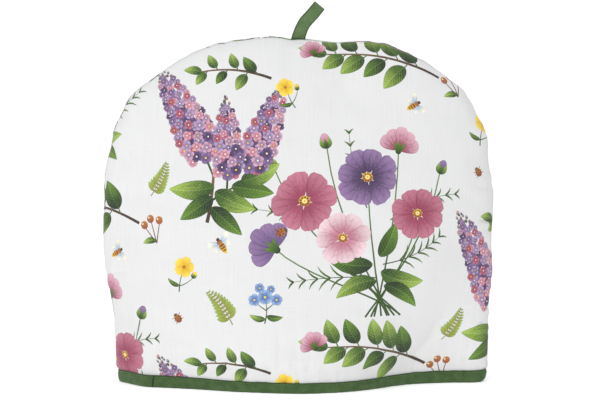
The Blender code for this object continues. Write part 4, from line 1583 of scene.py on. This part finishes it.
def loop_legs():
    """The inner face of the folded tape seen edge on, as rows of (distance up, y)."""
    spine = np.array(LOOP_SPINE)
    reach = np.linalg.norm(np.diff(spine, axis=0), axis=1).sum() - TAPE - LOOP_SEWN
    fullest = math.atan(1.0 / math.sqrt(LOOP_FULLNESS))
    widest = math.sin(fullest) * math.cos(fullest) ** LOOP_FULLNESS
    turn = np.linspace(-math.pi / 2.0, math.pi / 2.0, 2 * LOOP_STEPS + 1)
    sway = np.sin(turn) * np.cos(turn) ** LOOP_FULLNESS / widest * LOOP_GAP / 2.0
    sway = np.where(turn == 0.0, 0.0, np.sign(turn) * np.maximum(abs(sway), LOOP_TOUCH))
    up = LOOP_SEWN + reach * np.cos(turn) ** 2
    foot = np.array([LOOP_FOOT, LOOP_SEWN / 2.0])
    up = np.concatenate([foot, up, foot[::-1]])
    sway = np.concatenate([[-LOOP_TOUCH] * 2, sway, [LOOP_TOUCH] * 2])
    return up, sway


def make_loop(name, material):
    """The folded tape, and its two lines of edge stitching."""
    up, sway = loop_legs()
    along_up, along_y = np.gradient(up), np.gradient(sway)
    size = np.hypot(along_up, along_y)
    out_up, out_y = along_y / size, -along_up / size
    section = list(LOOP_SECTION) + [(a, -b) for a, b in LOOP_SECTION[::-1]]
    section += [(-a, -b) for a, b in LOOP_SECTION[1:]] + [(-a, b) for a, b in LOOP_SECTION[:0:-1]]
    width = LOOP_FOOT_WIDTH + (LOOP_WIDTH - LOOP_FOOT_WIDTH) * ease(up / LOOP_TWIST)
    run = np.concatenate([[0.0], np.cumsum(np.hypot(np.diff(up), np.diff(sway)))]) / MM
    cockle = LOOP_COCKLE * (uneven_waves(run, LOOP_COCKLE_LENGTH, 1.7) - 0.4)

    def lay(a, b):
        """The tape's points at this share of its half width and half thickness."""
        off = TAPE * (0.5 + 0.5 * b)
        middle, sideways = spine_frame(up + out_up * off)
        spot = middle + sideways * (a * width / 2.0 + 0.3 * cockle)[:, None]
        return np.stack([spot[:, 0], sway + out_y * off + cockle * a * a, spot[:, 1]], 1)

    rows = np.stack([lay(a, b) for a, b in section], axis=1)
    piece = swept_mesh(name, list(rows), material, closed=False)
    across = np.array([a for a, _ in section]) * LOOP_WIDTH / 2.0 / MM
    lay_weave(piece, np.repeat(run, len(section)), np.tile(across, len(run)))
    stitched = [lay(side * EDGE_STITCH, 0.86)[3:-3] for side in (-1, 1)]
    return piece, stitched


loop, loop_lines = make_loop("hanging_loop_tape",
                             tape_material("loop_cotton", LOOP_GREEN, LOOP_WORN, LOOP_FOLDS))
loop_stitches = sew("hanging_loop_stitches", [(line, False) for line in loop_lines],
                    stitch_nodes, green_thread)
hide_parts("hanging_loop")
for piece in (loop, loop_stitches):
    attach(piece, "root")


# The studio
# A white floor that sweeps up far behind and glows like a light table, one broad soft light from
# the front left, an even light from overhead and an overcast sky, so that there is little shadow.

FLOOR_REACH = 18.0
FAR_RISE = (18.5, 2.3)              # out to here and up to here the floor sweeps up behind
FLOOR_SIDES = 64
FLOOR_COLOUR = (0.92, 0.92, 0.92)
FLOOR_MOTTLE = 0.985                # how much of that its darker patches keep
FLOOR_GLOW = 0.39                   # light that the floor itself gives off
SKY = 0.34
SKY_COLOUR = (0.95, 0.97, 1.0, 1.0)
KEY_PLACE, KEY_AIM = Vector((-0.9, -2.5, 1.45)), Vector((0.0, 0.0, 0.15))
KEY_SIZE, KEY_WATTS = 1.2, 29.0
SUN_STRENGTH = 1.25                 # an even light from overhead, as soft as an overcast sky
SUN_SPREAD = math.radians(80.0)
VIEW_DISTANCE = 2.2
VIEW_LIFT = math.radians(5.3)       # how far the camera looks down
VIEW_CENTRE = Vector((0.0016, 0.0, 0.150))
VIEW_WIDTH = 0.492                  # metres across the picture at the seam plane
SENSOR = 36.0


def floor_material():
    """Matt white board with the faintest mottle."""
    material, tree, shader = new_material(
        "studio_floor", Roughness=0.95, Specular_IOR_Level=0.1,
        Emission_Color=(*WHITE, 1.0), Emission_Strength=FLOOR_GLOW)
    mottle = noise(tree, add_node(tree, "TexCoord").outputs["Object"], scale=3.0)
    colour = mottle.mix(FLOOR_COLOUR, [FLOOR_MOTTLE * c for c in FLOOR_COLOUR])
    tree.links.new(colour.socket, shader.inputs["Base Color"])
    return material


turns = [2.0 * math.pi * k / FLOOR_SIDES for k in range(FLOOR_SIDES)]
rings = [(reach * math.cos(t), reach * math.sin(t), rise)
         for reach, rise in ((FLOOR_REACH, 0.0), FAR_RISE) for t in turns]
sweep = [(k, (k + 1) % FLOOR_SIDES, FLOOR_SIDES + (k + 1) % FLOOR_SIDES, FLOOR_SIDES + k)
         for k in range(FLOOR_SIDES)]
floor = add_mesh("studio_floor", rings, [], [list(range(FLOOR_SIDES)), *sweep])
floor.data.materials.append(floor_material())

world = bpy.data.worlds.new("sky")
world.use_nodes = True
world.node_tree.nodes["Background"].inputs["Color"].default_value = SKY_COLOUR
world.node_tree.nodes["Background"].inputs["Strength"].default_value = SKY
bpy.context.scene.world = world

key = bpy.data.lights.new("key", "AREA")
key.size, key.energy = KEY_SIZE, KEY_WATTS
key_holder = add_object("key", key)
key_holder.location = KEY_PLACE
key_holder.rotation_euler = (KEY_AIM - KEY_PLACE).to_track_quat("-Z", "Y").to_euler()

overhead = bpy.data.lights.new("overhead", "SUN")
overhead.energy, overhead.angle = SUN_STRENGTH, SUN_SPREAD
add_object("overhead", overhead)

lens = bpy.data.cameras.new("camera")
lens.sensor_width = SENSOR
lens.lens = SENSOR * VIEW_DISTANCE / VIEW_WIDTH
camera = add_object("camera", lens)
back_off = Vector((0.0, -math.cos(VIEW_LIFT), math.sin(VIEW_LIFT))) * VIEW_DISTANCE
camera.location = VIEW_CENTRE + back_off
camera.rotation_euler = (-back_off).to_track_quat("-Z", "Y").to_euler()
bpy.context.scene.camera = camera
bpy.context.scene.view_settings.view_transform = "Standard"
